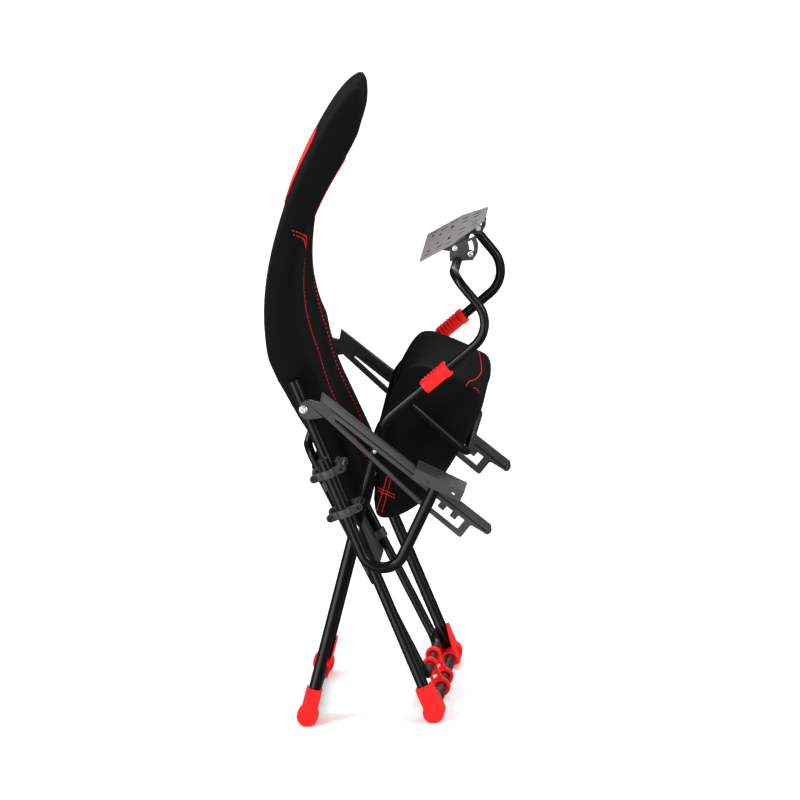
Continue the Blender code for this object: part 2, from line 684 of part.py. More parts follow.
def build_clamp(parent, label, height, grey, zinc):
    """Two half straps, one round each tube, drawn together by two shouldered bolts."""
    lean = radians(BACK_LEAN)
    along = Vector((-sin(lean), 0, cos(lean)))
    across = Vector((cos(lean), 0, sin(lean)))
    centre = Vector((back_line(height), 0, height))
    bore = FRAME_TUBE_R + SEAT_GAP
    wall = bore + CLAMP_STRAP
    ear = CLAMP_BOLT_OFFSET + BOLT_HEAD_R
    for name, y, way in (("outer", SHIFTER_Y, 1), ("inner", BACK_TUBE_Y, -1)):
        outline = [(ear, 0), (ear, CLAMP_STRAP)] + arc(0, 0, wall, 12, 168, 10)
        outline += [(-ear, CLAMP_STRAP), (-ear, 0)] + arc(0, 0, bore, 180, 0, 10)
        space = lambda u, v, w, y=y, way=way: centre + across * u + along * w + Vector((0, -(y + way * v), 0))
        bm = plate_mesh(outline, [], space, -CLAMP_WIDTH / 2, CLAMP_WIDTH / 2)
        strap = finish_object(f"clamp_{label}_{name}", bm, grey, parent)
        for k, shift in enumerate((-CLAMP_BOLT_OFFSET, CLAMP_BOLT_OFFSET)):
            at = centre + across * shift
            drill_y(strap, f"clamp_{label}_{name}_hole_{k}", at.x, at.z, -(y + CLAMP_WIDTH),
                    -(y - CLAMP_WIDTH), CLAMP_BOLT_R + SEAT_GAP, parent)
    outer_face = SHIFTER_Y + CLAMP_STRAP + SEAT_GAP
    length = outer_face - BACK_TUBE_Y + CLAMP_STRAP + SEAT_GAP
    shoulder = (outer_face - SHIFTER_Y + SEAT_GAP, outer_face - BACK_TUBE_Y - SEAT_GAP)
    head_r = BOLT_HEAD_R * 0.75
    profile = [(head_r * 0.8, -BOLT_HEAD), (head_r, -BOLT_HEAD * 0.6), (head_r, 0), (CLAMP_BOLT_R, 0),
               (CLAMP_BOLT_R, shoulder[0]), (head_r, shoulder[0]), (head_r, shoulder[1]),
               (CLAMP_BOLT_R, shoulder[1]), (CLAMP_BOLT_R, length), (head_r, length),
               (head_r, length + BOLT_HEAD * 0.8)]
    for name, shift in (("rear", -CLAMP_BOLT_OFFSET), ("front", CLAMP_BOLT_OFFSET)):
        at = centre + across * shift
        screw = turned_mesh(profile, (at.x, -outer_face, at.z), (0, 1, 0), BOLT_SIDES)
        finish_object(f"clamp_bolt_{label}_{name}", screw, zinc, parent)


def upper_axis():
    """The straight upper run of a leg, where the lock sleeve sits and the hoop slides."""
    rise = radians(UPPER_RISE)
    return Vector((SLEEVE_START[0], 0, SLEEVE_START[1])), Vector((cos(rise), 0, sin(rise)))


def leg_corner():
    start, along = upper_axis()
    lean = tan(radians(LEG_LEAN))
    reach = (leg_line(start.z) - start.x) / (along.x - lean * along.z)
    return start + along * reach


def build_legs(parent, black, red, zinc):
    start, along = upper_axis()
    up = Vector((sin(radians(LEG_LEAN)), 0, cos(radians(LEG_LEAN))))
    pin_x, pin_z = pin_place()
    for side, sign in SIDES:
        shift = Vector((0, sign * LEG_TUBE_Y, 0))
        foot = Vector((leg_line(CROSS_TUBE_Z), 0, CROSS_TUBE_Z)) + up * (CAP_SOCKET_START + SEAT_GAP)
        end = start + along * LEG_END_IN_SLEEVE
        path = rounded_path([foot + shift, leg_corner() + shift, end + shift], UPPER_BEND_R)
        leg = tube_object(f"leg_tube_{side}", path, FRAME_TUBE_R, black, parent)
        reach = FRAME_TUBE_R * 2
        drill_y(leg, f"leg_pivot_hole_{side}", 0, PIVOT_HEIGHT, sign * (LEG_TUBE_Y - reach),
                sign * (LEG_TUBE_Y + reach), PIVOT_BOLT_R + SEAT_GAP, parent)
        drill_y(leg, f"leg_pin_hole_{side}", pin_x, pin_z, sign * LEG_TUBE_Y,
                sign * (LEG_TUBE_Y + reach), ARM_PIN_R + SEAT_GAP, parent)
        mouth = end + shift + along * HOOP_TUBE_R
        bottom = end + shift - along * (HOOP_INSERT + SOCKET_SPARE)
        socket = cylinder_between(mouth, bottom, HOOP_TUBE_R + RUN_GAP)
        cut(leg, finish_object(f"leg_socket_{side}", socket, None, parent, True))
        ends = [(ARM_PIN_R, SEAT_GAP), (ARM_PIN_R, ARM_INNER_Y - LEG_TUBE_Y - PIN_SHORTFALL)]
        pin = turned_mesh(ends, (pin_x, sign * LEG_TUBE_Y, pin_z), (0, sign, 0), BOLT_SIDES)
        finish_object(f"slot_pin_{side}", pin, zinc, parent)
        foot_cap(f"rear_foot_{side}", leg_line, LEG_TUBE_Y, sign, red, parent)
        sleeve = turned_mesh(sleeve_profile(), start + shift, along, TUBE_SIDES, hollow=True)
        finish_object(f"lock_sleeve_{side}", sleeve, red, parent)
    end = cross_tube_end(LEG_TUBE_Y) - SEAT_GAP
    cross = [Vector((leg_line(CROSS_TUBE_Z), y, CROSS_TUBE_Z)) for y in (-end, end)]
    tube_object("rear_cross_tube", cross, FRAME_TUBE_R, black, parent)


def sleeve_profile():
    """Ribbed sleeve: wide bore over the leg's end, narrow bore round the hoop."""
    wide = FRAME_TUBE_R + SEAT_GAP
    narrow = HOOP_TUBE_R + RUN_GAP
    step = LEG_END_IN_SLEEVE + SEAT_GAP
    points = [(wide, 0), (SLEEVE_R, 0)]
    pitch = SLEEVE_LENGTH / (SLEEVE_RIBS + 1)
    for rib in range(SLEEVE_RIBS):
        middle = pitch * (rib + 1)
        points += [(SLEEVE_R, middle - pitch * 0.2), (SLEEVE_R - SLEEVE_RIB_DEPTH, middle),
                   (SLEEVE_R, middle + pitch * 0.2)]
    return points + [(SLEEVE_R, SLEEVE_LENGTH), (narrow, SLEEVE_LENGTH), (narrow, step), (wide, step)]


def build_brace(parent, black):
    """A bent tube under the seat pan, welded to the inner sides of both legs."""
    join_y = LEG_TUBE_Y - FRAME_TUBE_R - BRACE_TUBE_R - SEAT_GAP
    half = [Vector((BRACE_JOIN[0], join_y, BRACE_JOIN[1])),
            Vector((BRACE_CORNER[0], BRACE_CORNER_Y, BRACE_CORNER[1]))]
    mirrored = [Vector((p.x, -p.y, p.z)) for p in reversed(half)]
    tube_object("seat_brace", rounded_path(half + mirrored, BRACE_BEND_R), BRACE_TUBE_R, black, parent)


def build_seat_pan(parent, fabric):
    """Crowned pan with a dished seat face and rounded sides, lofted across its width."""
    bm = bmesh.new()
    middle = sum((Vector((x, 0, z)) for x, z in PAN_OUTLINE), Vector()) / len(PAN_OUTLINE)
    right = [(-share, inset) for share, inset in PAN_ROUNDING]
    spread = right + [(0.0, 0.0)] + list(reversed(PAN_ROUNDING))
    rings = []
    for share, inset in spread:
        crown = max(0.0, 1 - (share / PAN_CROWN_SHARE) ** 2)
        ring = []
        for k, (x, z) in enumerate(PAN_OUTLINE):
            point = Vector((x, 0, z))
            inwards = (middle - point).normalized()
            sink = inset
            if k in PAN_SEAT_POINTS:
                sink += PAN_DISH * crown
            if k in PAN_BELLY_POINTS:
                sink -= PAN_BELLY * crown
            ring.append(bm.verts.new(point + inwards * sink + Vector((0, share * PAN_HALF, 0))))
        rings.append(ring)
    for one, two in zip(rings, rings[1:]):
        bridge_rings(bm, one, two)
    bm.faces.new(rings[0])
    bm.faces.new(list(reversed(rings[-1])))
    bmesh.ops.triangulate(bm, faces=[f for f in bm.faces if len(f.verts) > 4])
    finish_object("seat_pan_pad", bm, fabric, parent)


def build_arm(side, sign, parent, grey):
    """Slotted recline arm with three pockets for the leg's pin."""
    slot_end = ARM_POCKETS[-1] + ARM_POCKET_HALF
    lug_end = slot_end + ARM_LUG_TAIL
    lug_start = ARM_POCKETS[0] - ARM_LUG_LEAD
    low = ARM_RAIL_LOW
    head = arc(*ARM_HEAD_CENTRE, ARM_HEAD_R, 100, 300, 12)
    outline = [(ARM_LENGTH - 0.008, ARM_TOP), *ARM_NECK] + head
    outline += [ARM_UNDER_HEAD, (lug_start, low + 0.002), (lug_end - 0.003, low), (lug_end, low + 0.003),
                (lug_end, ARM_TAIL_LOW - 0.0055), (lug_end + 0.006, ARM_TAIL_LOW),
                (ARM_LENGTH - 0.004, ARM_TAIL_LOW), (ARM_LENGTH, ARM_TAIL_LOW + 0.004),
                (ARM_LENGTH, ARM_TOP - 0.008)]
    window = [(ARM_WINDOW_START, ARM_SLOT_TOP), (ARM_WINDOW_START, ARM_SLOT_TOP - 0.004),
              (lug_start, low + ARM_RAIL + 0.002), (slot_end, low + ARM_RAIL + 0.001),
              (slot_end, ARM_SLOT_TOP)]
    for place in reversed(ARM_POCKETS[:-1]):
        tooth_far = ARM_POCKETS[ARM_POCKETS.index(place) + 1] - ARM_POCKET_HALF
        tooth_near = place + ARM_POCKET_HALF
        window += [(tooth_far, ARM_SLOT_TOP), (tooth_far, ARM_TOOTH_TIP), (tooth_near, ARM_TOOTH_TIP),
                   (tooth_near, ARM_SLOT_TOP)]
    holes = [window, circle(0, 0, PIVOT_BOLT_R + SEAT_GAP)]
    space = lambda u, v, w: Vector((arm_point(u, v)[0], sign * w, arm_point(u, v)[1]))
    bm = plate_mesh(outline, holes, space, ARM_INNER_Y, ARM_INNER_Y + ARM_THICK)
    finish_object(f"recline_arm_{side}", bm, grey, parent)


def hoop_points():
    start, along = upper_axis()
    shift = Vector((0, LEG_TUBE_Y, 0))
    inner = start + along * (LEG_END_IN_SLEEVE - HOOP_INSERT) + shift
    front = start + along * HOOP_FRONT_CORNER + shift
    top = Vector((HOOP_TOP[0], LEG_TUBE_Y, HOOP_TOP[1]))
    half = [inner, front, top]
    return half + [Vector((p.x, -p.y, p.z)) for p in reversed(half)]


def build_hoop(parent, black, grey):
    bends = (0, HOOP_FRONT_BEND_R, HOOP_TOP_BEND_R, HOOP_TOP_BEND_R, HOOP_FRONT_BEND_R, 0)
    tube_object("wheel_hoop", rounded_path(hoop_points(), bends), HOOP_TUBE_R, black, parent)
    px, pz = TILT_PIVOT
    outline = [(px + u, pz + v) for u, v in QUADRANT_OUTLINE]
    half = TILT_BOLT_R + SEAT_GAP
    groove = arc(px, pz, TILT_LOCK_R + half, TILT_LOCK_ANGLE, TILT_SLOT_TOP, 8)
    groove += arc(px, pz, TILT_LOCK_R - half, TILT_SLOT_TOP, TILT_LOCK_ANGLE, 8)
    lock = lock_place()
    for side, sign in SIDES:
        bm = plate_mesh(outline, [groove, circle(px, pz, half)], in_side_plane(sign),
                        QUADRANT_Y - BRACKET_THICK / 2, QUADRANT_Y + BRACKET_THICK / 2)
        quadrant = finish_object(f"tilt_quadrant_{side}", bm, grey, parent)
        inner = sign * (QUADRANT_Y - BRACKET_THICK)
        outer = sign * (QUADRANT_Y + BRACKET_THICK)
        drill_y(quadrant, f"quadrant_saddle_{side}", *HOOP_TOP, inner, outer, HOOP_TUBE_R + SEAT_GAP, parent)
        drill_y(quadrant, f"quadrant_lock_{side}", *lock, inner, outer, half + SEAT_GAP, parent)


def lock_place():
    turn = radians(TILT_LOCK_ANGLE)
    return TILT_PIVOT[0] + TILT_LOCK_R * cos(turn), TILT_PIVOT[1] + TILT_LOCK_R * sin(turn)


def plate_point(u, v, w):
    """A point of the wheel plate: u forward along it, v sideways, w up from its top face."""
    tilt = radians(PLATE_TILT)
    x = PLATE_REAR[0] + u * cos(tilt) - w * sin(tilt)
    return Vector((x, v, PLATE_REAR[1] + u * sin(tilt) + w * cos(tilt)))


def build_wheel_plate(parent, light, grey, zinc):
    outline = [(0, -PLATE_HALF), (PLATE_KINK, -PLATE_HALF), (PLATE_LENGTH, -PLATE_FRONT_HALF),
               (PLATE_LENGTH, PLATE_FRONT_HALF), (PLATE_KINK, PLATE_HALF), (0, PLATE_HALF)]
    holes = []
    for sign in (-1, 1):
        for u, v, length, angle in PLATE_SLOTS:
            holes.append(slot(u, sign * v, length, PLATE_SLOT_WIDTH, angle))
    bm = plate_mesh(outline, holes, plate_point, -PLATE_THICK, 0)
    finish_object("wheel_plate", bm, light, parent)
    px, pz = TILT_PIVOT
    lock = lock_place()
    under = -PLATE_THICK - SEAT_GAP
    rear, front = [plate_point(u, 0, under - TAB_EDGE_R) for u in TAB_ON_PLATE]
    tab = hull([(px, pz, TAB_PIVOT_R), (*lock, TAB_LOCK_R), (rear.x, rear.z, TAB_EDGE_R),
                (front.x, front.z, TAB_EDGE_R)], 12)
    inner = QUADRANT_Y - BRACKET_THICK / 2 - RUN_GAP
    half = TILT_BOLT_R + SEAT_GAP
    holes = [circle(px, pz, half), circle(*lock, half)]
    for side, sign in SIDES:
        bm = plate_mesh(tab, holes, in_side_plane(sign), inner - BRACKET_THICK, inner)
        finish_object(f"plate_tab_{side}", bm, grey, parent)
        outer = QUADRANT_Y + BRACKET_THICK / 2 + RUN_GAP
        tail = inner - BRACKET_THICK - SEAT_GAP - BOLT_HEAD
        for name, place in (("tilt_bolt", TILT_PIVOT), ("tilt_lock_bolt", lock)):
            screw = bolt(*place, outer, tail, sign, TILT_BOLT_R, TILT_HEAD_R)
            finish_object(f"{name}_{side}", screw, zinc, parent)


def loop_space(u, v, w):
    """A point of the pedal loop: u up along it, v sideways, w towards its rear face."""
    lean = radians(LOOP_LEAN)
    x = LOOP_FOOT[0] - u * sin(lean) - w * cos(lean)
    return Vector((x, v, LOOP_FOOT[1] + u * cos(lean) - w * sin(lean)))


def build_pedal_loop(parent, black, red):
    corners = [loop_space(u, v, 0) for u, v in ((0, -LOOP_HALF), (LOOP_LENGTH, -LOOP_HALF),
                                               (LOOP_LENGTH, LOOP_HALF), (0, LOOP_HALF))]
    path = rounded_path(corners, LOOP_BEND_R, closed=True)
    tube_object("pedal_loop", path, PEDAL_TUBE_R, black, parent, closed=True)
    thick = (back_line(CROSS_TUBE_Z), CROSS_TUBE_Z)
    thin = LOOP_FOOT
    bore_thick = FRAME_TUBE_R + RUN_GAP
    bore_thin = PEDAL_TUBE_R + SEAT_GAP
    turn = atan2(thin[1] - thick[1], thin[0] - thick[0]) * 180 / pi
    neck = CLIP_NECK_ANGLE
    outline = arc(*thick, bore_thick + CLIP_WALL, turn + neck, turn + 360 - neck, 20)
    outline += arc(*thin, bore_thin + CLIP_WALL, turn + 180 + neck, turn + 540 - neck, 18)
    holes = [circle(*thick, bore_thick, 20), circle(*thin, bore_thin, 20)]
    for side, sign in SIDES:
        bm = plate_mesh(outline, holes, in_side_plane(sign), CLIP_Y - CLIP_WIDTH / 2, CLIP_Y + CLIP_WIDTH / 2)
        finish_object(f"pedal_clip_{side}", bm, red, parent)


def build_pedal_plate(parent, grey):
    face = PEDAL_TUBE_R + RUN_GAP
    start, end = PEDAL_PLATE_START, PEDAL_PLATE_START + PEDAL_PLATE_LENGTH
    corner = PEDAL_PLATE_CORNER_R
    half = PEDAL_PLATE_HALF
    outline = []
    for u, v, angle in ((end, half, 0), (start, half, 90), (start, -half, 180), (end, -half, 270)):
        du = -corner if u == end else corner
        dv = -corner if v > 0 else corner
        outline += arc(u + du, v + dv, corner, angle, angle + 90, 4)
    holes = []
    for share in PEDAL_SLOT_SHARES:
        for v in PEDAL_SLOT_SIDES:
            holes.append(slot(lerp(start, end, share), v, PEDAL_SLOT_LENGTH, PEDAL_SLOT_WIDTH, 0))
    bm = plate_mesh(outline, holes, loop_space, face, face + PEDAL_PLATE_THICK)
    finish_object("pedal_plate", bm, grey, parent)
    bore = PEDAL_TUBE_R + RUN_GAP
    wall = bore + SADDLE_WALL
    ear = wall + SADDLE_EAR
    foot = face - SEAT_GAP
    for place, end_name in zip(SADDLE_PLACES, ("lower", "upper")):
        for side, sign in SIDES:
            outline = [(ear, foot), (-wall, foot)] + arc(0, 0, wall, 180, 360, 12)
            outline += [(wall, foot - SADDLE_WALL), (ear, foot - SADDLE_WALL)]
            hollow = [(bore, foot), (-bore, foot)] + arc(0, 0, bore, 180, 360, 12)
            ring = [(ear, foot)] + [hollow[0]] + list(reversed(hollow[2:])) + [hollow[1]] + outline[1:]
            space = lambda u, v, w, sign=sign, place=place: loop_space(place + w, sign * (LOOP_HALF - u), v)
            bm = plate_mesh(ring, [], space, -SADDLE_WIDTH / 2, SADDLE_WIDTH / 2)
            finish_object(f"pedal_saddle_{end_name}_{side}", bm, grey, parent)


def main():
    clear_scene()
    black = material("black_powder_coat", (0.012, 0.012, 0.013), 0.34, 0.3)
    grey = material("dark_grey_coat", (0.055, 0.056, 0.060), 0.55, 0.2)
    light = material("grey_plate_coat", (0.29, 0.29, 0.30), 0.5, 0.4)
    red = material("red_plastic", (0.82, 0.025, 0.022), 0.42)
    zinc = material("zinc_steel", (0.72, 0.73, 0.75), 0.3, 0.9)
    fabric = material("black_fabric", (0.010, 0.010, 0.011), 0.9)
    root = joint_empty("cockpit", 0, 0)
    fold = joint_empty("fold_axis", 0, PIVOT_HEIGHT, root)
    build_back_frame(root, black, red, zinc)
    build_back_pad(root, fabric)
    build_shifter(root, black, grey, zinc)
    build_legs(fold, black, red, zinc)
    build_brace(fold, black)
    build_seat_pan(fold, fabric)
    for side, sign in SIDES:
        arm = joint_empty(f"arm_axis_{side}", arm_pivot_x(), ARM_PIVOT_Z, root)
        build_arm(side, sign, arm, grey)
    slide = joint_empty("hoop_slide", SLEEVE_START[0], SLEEVE_START[1], fold)
    build_hoop(slide, black, grey)
    tilt = joint_empty("tilt_axis", TILT_PIVOT[0], TILT_PIVOT[1], slide)
    build_wheel_plate(tilt, light, grey, zinc)
    pedals = joint_empty("pedal_axis", back_line(CROSS_TUBE_Z), CROSS_TUBE_Z, root)
    build_pedal_loop(pedals, black, red)
    plate_slide = joint_empty("pedal_plate_slide", LOOP_FOOT[0], LOOP_FOOT[1], pedals)
    build_pedal_plate(plate_slide, grey)


main()
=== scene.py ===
"""Looks of a folding racing-seat cockpit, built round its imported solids.

The tubes, bolts, ribs and stitches come from node trees, the hard parts are softened
copies of their solids, and the two pads are inflated cloth.  Metres, +Z up.
"""
import json
from math import cos, pi, radians, sin, tan

import bmesh
import bpy
from mathutils import Matrix, Vector, geometry
from mathutils.bvhtree import BVHTree
from mathutils.kdtree import KDTree


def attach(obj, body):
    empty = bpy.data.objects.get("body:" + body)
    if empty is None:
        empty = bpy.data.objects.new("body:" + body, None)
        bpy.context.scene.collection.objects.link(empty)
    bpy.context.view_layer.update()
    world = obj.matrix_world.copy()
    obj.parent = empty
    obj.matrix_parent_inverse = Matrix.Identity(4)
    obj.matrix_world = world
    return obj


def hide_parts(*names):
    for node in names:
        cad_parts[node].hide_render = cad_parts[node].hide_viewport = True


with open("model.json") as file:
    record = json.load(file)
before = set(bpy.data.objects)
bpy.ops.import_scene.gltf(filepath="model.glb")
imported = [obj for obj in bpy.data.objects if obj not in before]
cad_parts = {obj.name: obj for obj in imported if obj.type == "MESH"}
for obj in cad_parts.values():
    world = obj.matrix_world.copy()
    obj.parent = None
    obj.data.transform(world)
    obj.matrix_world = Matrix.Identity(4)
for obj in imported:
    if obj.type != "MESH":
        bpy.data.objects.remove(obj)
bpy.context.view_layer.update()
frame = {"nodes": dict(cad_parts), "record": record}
NODES = frame["nodes"]
BODY_OF = {}
for body_name, members in frame["record"]["behaviour"]["bodies"].items():
    for member in members:
        BODY_OF[member] = body_name
SLOT_OF = {item["node"]: item["material_slot"] for item in frame["record"]["subparts"]}

# Fold pivot on the floor, in the object's frame; side-view sizes are measured from it
PIVOT = Vector((-0.06013, 0.0225, 0.0))
PIVOT_HEIGHT = 0.381
BACK_LEAN = tan(radians(19.0))
LEG_LEAN = tan(radians(17.8))
BACK_TUBE_Y = 0.275
BACK_TUBE_TOP = 0.670
LEG_TUBE_Y = 0.246
CROSS_TUBE_Z = 0.0195
CROSS_END = 0.013
CAP_GROOVE = 0.0118
SOCKET_START = 0.0135
FRAME_R = 0.011
HOOP_R = 0.009
PEDAL_R = 0.0085
BRACE_R = 0.008
TUBE_SIDES = 32
BEND_STEPS = 14
CLOSE_FIT = 0.0003
SIDES = (("right", -1), ("left", 1))
FORWARD = (1, 0, 0)
REARWARD = (-1, 0, 0)
DOWN = (0, 0, -1)
BACK_UP = Vector((-BACK_LEAN, 0, 1)).normalized()
BACK_ACROSS = Vector((1, 0, BACK_LEAN)).normalized()

# Softened copies: points closer than the weld are joined, and faces within the flat angle
WELD = 1e-5
FLAT_ANGLE = radians(1.5)
WIDE_EDGE = 0.0015
CAP_EDGE = 0.0014
BAND_EDGE = 0.0007
SHEET_EDGE = 0.0006

# Groove of the foot caps: gap over the cross tube, length and depth past the leg's middle
GROOVE_GAP = 0.0006
GROOVE_REACH = 0.12
GROOVE_PAST = 0.001

# Upper run of the legs, with lock sleeves and the sliding hoop
SLEEVE_START = Vector((0.145, 0.0, 0.637))
UPPER_RISE = radians(37.0)
LEG_END_IN_SLEEVE = 0.032
HOOP_INSERT = 0.080
HOOP_FRONT_CORNER = 0.1812
HOOP_FRONT_BEND_R = 0.058
HOOP_TOP = (0.2140, 0.8510)
HOOP_TOP_BEND_R = 0.034
UPPER_BEND_R = 0.080
UPPER = Vector((cos(UPPER_RISE), 0.0, sin(UPPER_RISE)))
# Sleeve as (radius, length) and its finger ribs
SLEEVE_PROFILE = (
    (0.0115, -0.0002), (0.0130, 0.0), (0.0136, 0.0012), (0.0136, 0.0480), (0.0136, 0.0486), (0.0148, 0.0496),
    (0.0151, 0.0510), (0.0151, 0.0585), (0.0144, 0.0606), (0.0125, 0.0610), (0.0096, 0.0606),
)
RIB_START = 0.0070
RIB_PITCH = 0.0072
RIB_COUNT = 6
RIB_R = 0.0134
RIB_RISE = 0.0019
RIB_HALF = 0.0017
RIB_WRAP = 105
RIB_FADE = 0.12
RIB_STEPS = 16
RIB_SIDES = 8

# Recline arms, shifter tube, pedal loop and seat brace
ARM_PIVOT_Z = 0.618
ARM_SLOPE = radians(-42.0)
ARM_INNER_Y = 0.2875
ARM_THICK = 0.013
# Flanges of the arms: outline, rise over the face, and 1 for the near-black strip of painted shade in the
# groove
ARM_BANDS = (
    (((0.0200, 0.0345), (0.0125, 0.0462), (0.4120, 0.0462), (0.4190, 0.0400), (0.4190, 0.0345)), 0.0028, 0),
    (((0.0570, 0.0245), (0.0480, 0.0318), (0.4140, 0.0318), (0.4140, 0.0283), (0.3860, 0.0245)), 0.0020, 0),
    (((0.0420, 0.0310), (0.0300, 0.0350), (0.4160, 0.0350), (0.4160, 0.0310)), 0.0005, 1),
)
ARM_INNER_START = 0.075
BAND_SINK = 0.0006
SHIFTER_Y = 0.336
SHIFTER_TOP_Z = 0.524
SHIFTER_RISE = radians(28.8)
SHIFTER_FOOT = (0.092, 0.338)
SHIFTER_BEND_R = 0.042
SHIFTER_REACH = 0.158
CLAMP_HEIGHTS = (0.4225, 0.4995)
CLAMP_BOLT_OFFSET = 0.0287
CLAMP_WIDTH = 0.016
CLAMP_STRAP = 0.003
EAR_TURN = 86
EAR_STEPS = 8
EAR_TIP = 0.0012
ARC_START = 6
ARC_STEPS = 12
ARC_SPREAD = 1.04
LOOP_FOOT = (0.106, 0.063)
LOOP_LEAN = radians(23.2)
LOOP_LENGTH = 0.496
LOOP_HALF = 0.160
LOOP_BEND_R = 0.030
CLIP_Y = 0.048
CLIP_NECK = 0.52
CLIP_SCREW_Y = 0.0071
BRACE_JOIN = (0.1087, 0.6097)
BRACE_CORNER = (0.2130, 0.4955)
BRACE_CORNER_Y = 0.190
BRACE_BEND_R = 0.028
TILT_PIVOT = (0.212, 0.877)
TILT_LOCK_R = 0.031
TILT_LOCK_ANGLE = radians(-24.0)
QUADRANT_FACE_Y = 0.1252
TAB_ON_PLATE = (0.047, 0.100)
TAB_DROP = 0.0034
TAB_CORNER_R = 0.0002
TAB_PIVOT_R = 0.008
TAB_LINK_R = 0.0055
TAB_LOCK_R = 0.0065
TAB_GAP = 0.0048
TAB_THICK = 0.004
PLATE_REAR = (0.143, 0.856)
PLATE_TILT = 26.2
PLATE_LENGTH = 0.136
PLATE_KINK = 0.0755
PLATE_HALF = 0.125
PLATE_FRONT_HALF = 0.060
PLATE_RIM = 0.003
SLOT_WALL_TURN = 0.85

# Bolts: face under the head, end of the tail and radius of the head; profiles are (radius, height)
PIVOT_BOLT = (0.2863, 0.2302, 0.0085)
ARM_RIVET = (0.3008, 0.2592, 0.0085)
TILT_BOLT = (QUADRANT_FACE_Y, 0.1116, 0.0058)
BOLT_HEAD = 0.0045
BOLT_SHANK_R = 0.004
# Domed head with a socket, as shares of its radius and height
HEAD_PROFILE = ((0.36, 0.35), (0.42, 0.98), (0.60, 1.0), (0.82, 0.86), (0.96, 0.55), (1.0, 0.22), (1.0, 0.0))
# Nut at the tail: share of the head's radius, its chamfer as a share of the head's height, and its end
NUT_SHARE = 0.9
NUT_CHAMFER = 0.2
NUT_END = 0.8
# Screw of a pedal clip: head radius, head height, shank radius and length
CLIP_SCREW = (0.0042, 0.0026, 0.002, 0.004)
CLAMP_BOLT_Y = 0.3393
CLAMP_BOLT_PROFILE = (
    (0.00216, 0.0015), (0.00243, 0.0044), (0.00459, 0.0045), (0.0054, 0.0030), (0.0054, 0.0), (0.003, 0.0),
    (0.003, -0.0036), (0.0054, -0.0036), (0.0054, -0.0640), (0.003, -0.0640), (0.003, -0.0676),
    (0.0054, -0.0676), (0.0054, -0.0705), (0.00432, -0.0712),
)
PEG_Y = 0.3375
PEG_LIFT = 0.0070
PEG_PROFILE = ((0.0030, 0.0), (0.0040, 0.0004), (0.0040, 0.0120), (0.0044, 0.0124), (0.0044, 0.0160),
               (0.0036, 0.0170))

# Back pad: rear face height, its x, half width and thickness, from bottom to top
PAD_STATIONS = (
    (0.400, -0.0100, 0.185, 0.038), (0.430, -0.0250, 0.212, 0.048), (0.480, -0.0490, 0.216, 0.053),
    (0.530, -0.0730, 0.222, 0.057), (0.585, -0.1010, 0.238, 0.062), (0.640, -0.1250, 0.256, 0.071),
    (0.672, -0.1355, 0.290, 0.073), (0.720, -0.1490, 0.297, 0.071), (0.800, -0.1495, 0.297, 0.062),
    (0.880, -0.1365, 0.292, 0.058), (0.960, -0.1100, 0.270, 0.054), (1.030, -0.0775, 0.235, 0.057),
    (1.088, -0.0445, 0.196, 0.062), (1.132, -0.0155, 0.165, 0.061), (1.166, 0.0130, 0.132, 0.050),
    (1.187, 0.0385, 0.090, 0.024), (1.1925, 0.0465, 0.050, 0.009),
)
# One half of a pad section: share of the half width, share of the thickness
PAD_SECTION = (
    (0.50, 0.00), (0.90, 0.06), (0.985, 0.22), (1.00, 0.50), (0.955, 0.81),
    (0.84, 0.98), (0.68, 1.03), (0.52, 1.06), (0.36, 1.06), (0.18, 0.98),
)
PAD_CENTRE = 0.95
PAD_FRONT_FROM = 0.9
# The front swells most at this height, over this reach up and down and this share of the half width
PAD_CROWN = 0.12
PAD_CROWN_Z = 0.79
PAD_CROWN_REACH = 0.13
PAD_CROWN_SHARE = 0.84
PAD_SHRINK = 0.001
# Twin seams of the back, which hook out over the wings: share of the half width at each height
TWIN_SEAM = {
    "inner": ((0.405, 0.400), (0.500, 0.390), (0.600, 0.410), (0.700, 0.380), (0.790, 0.410), (0.850, 0.410),
              (0.892, 0.420), (0.919, 0.575), (0.940, 0.850), (0.950, 0.940), (0.955, 0.970)),
    "outer": ((0.405, 0.428), (0.500, 0.418), (0.600, 0.438), (0.700, 0.408), (0.790, 0.438), (0.845, 0.438),
              (0.882, 0.450), (0.903, 0.530), (0.925, 0.755), (0.938, 0.895), (0.947, 0.965)),
}
REAR_SEAM = ((0.430, 0.62), (0.560, 0.66), (0.700, 0.66), (0.860, 0.66), (1.000, 0.64), (1.100, 0.58),
             (1.150, 0.46))
BACK_STITCH = {"Pitch": 0.0080, "Thread": 0.0010, "Fill": 0.30}
BACK_STITCH_LIFT = 0.0005
# Head panels: lower and upper height and half width
HEAD_PANEL_REAR = (0.965, 1.090, 0.085)
HEAD_PANEL_FRONT = (0.950, 1.058, 0.166)
PANEL_ROWS = 22
PANEL_COLUMNS = 18
PANEL_END = 0.35
PANEL_LIFT = 0.0006
PANEL_THICK = 0.0016
# Cushions: size of the even mesh, cap of the swell, width and depth of a seam
BACK_VOXEL = 0.0070
BACK_SWELL = 0.0015
BACK_GROOVE = (0.008, 0.0022)
PAN_VOXEL = 0.005
PAN_SWELL = 0.0025
PAN_GROOVE = (0.007, 0.0016)
CUSHION_CLOTH = {
    "quality": 4, "mass": 0.3, "tension_stiffness": 18, "compression_stiffness": 18, "shear_stiffness": 8,
    "bending_stiffness": 1.2, "use_pressure": True, "uniform_pressure_force": 4.0,
}
CUSHION_STEPS = 20
RAY_START = 0.6

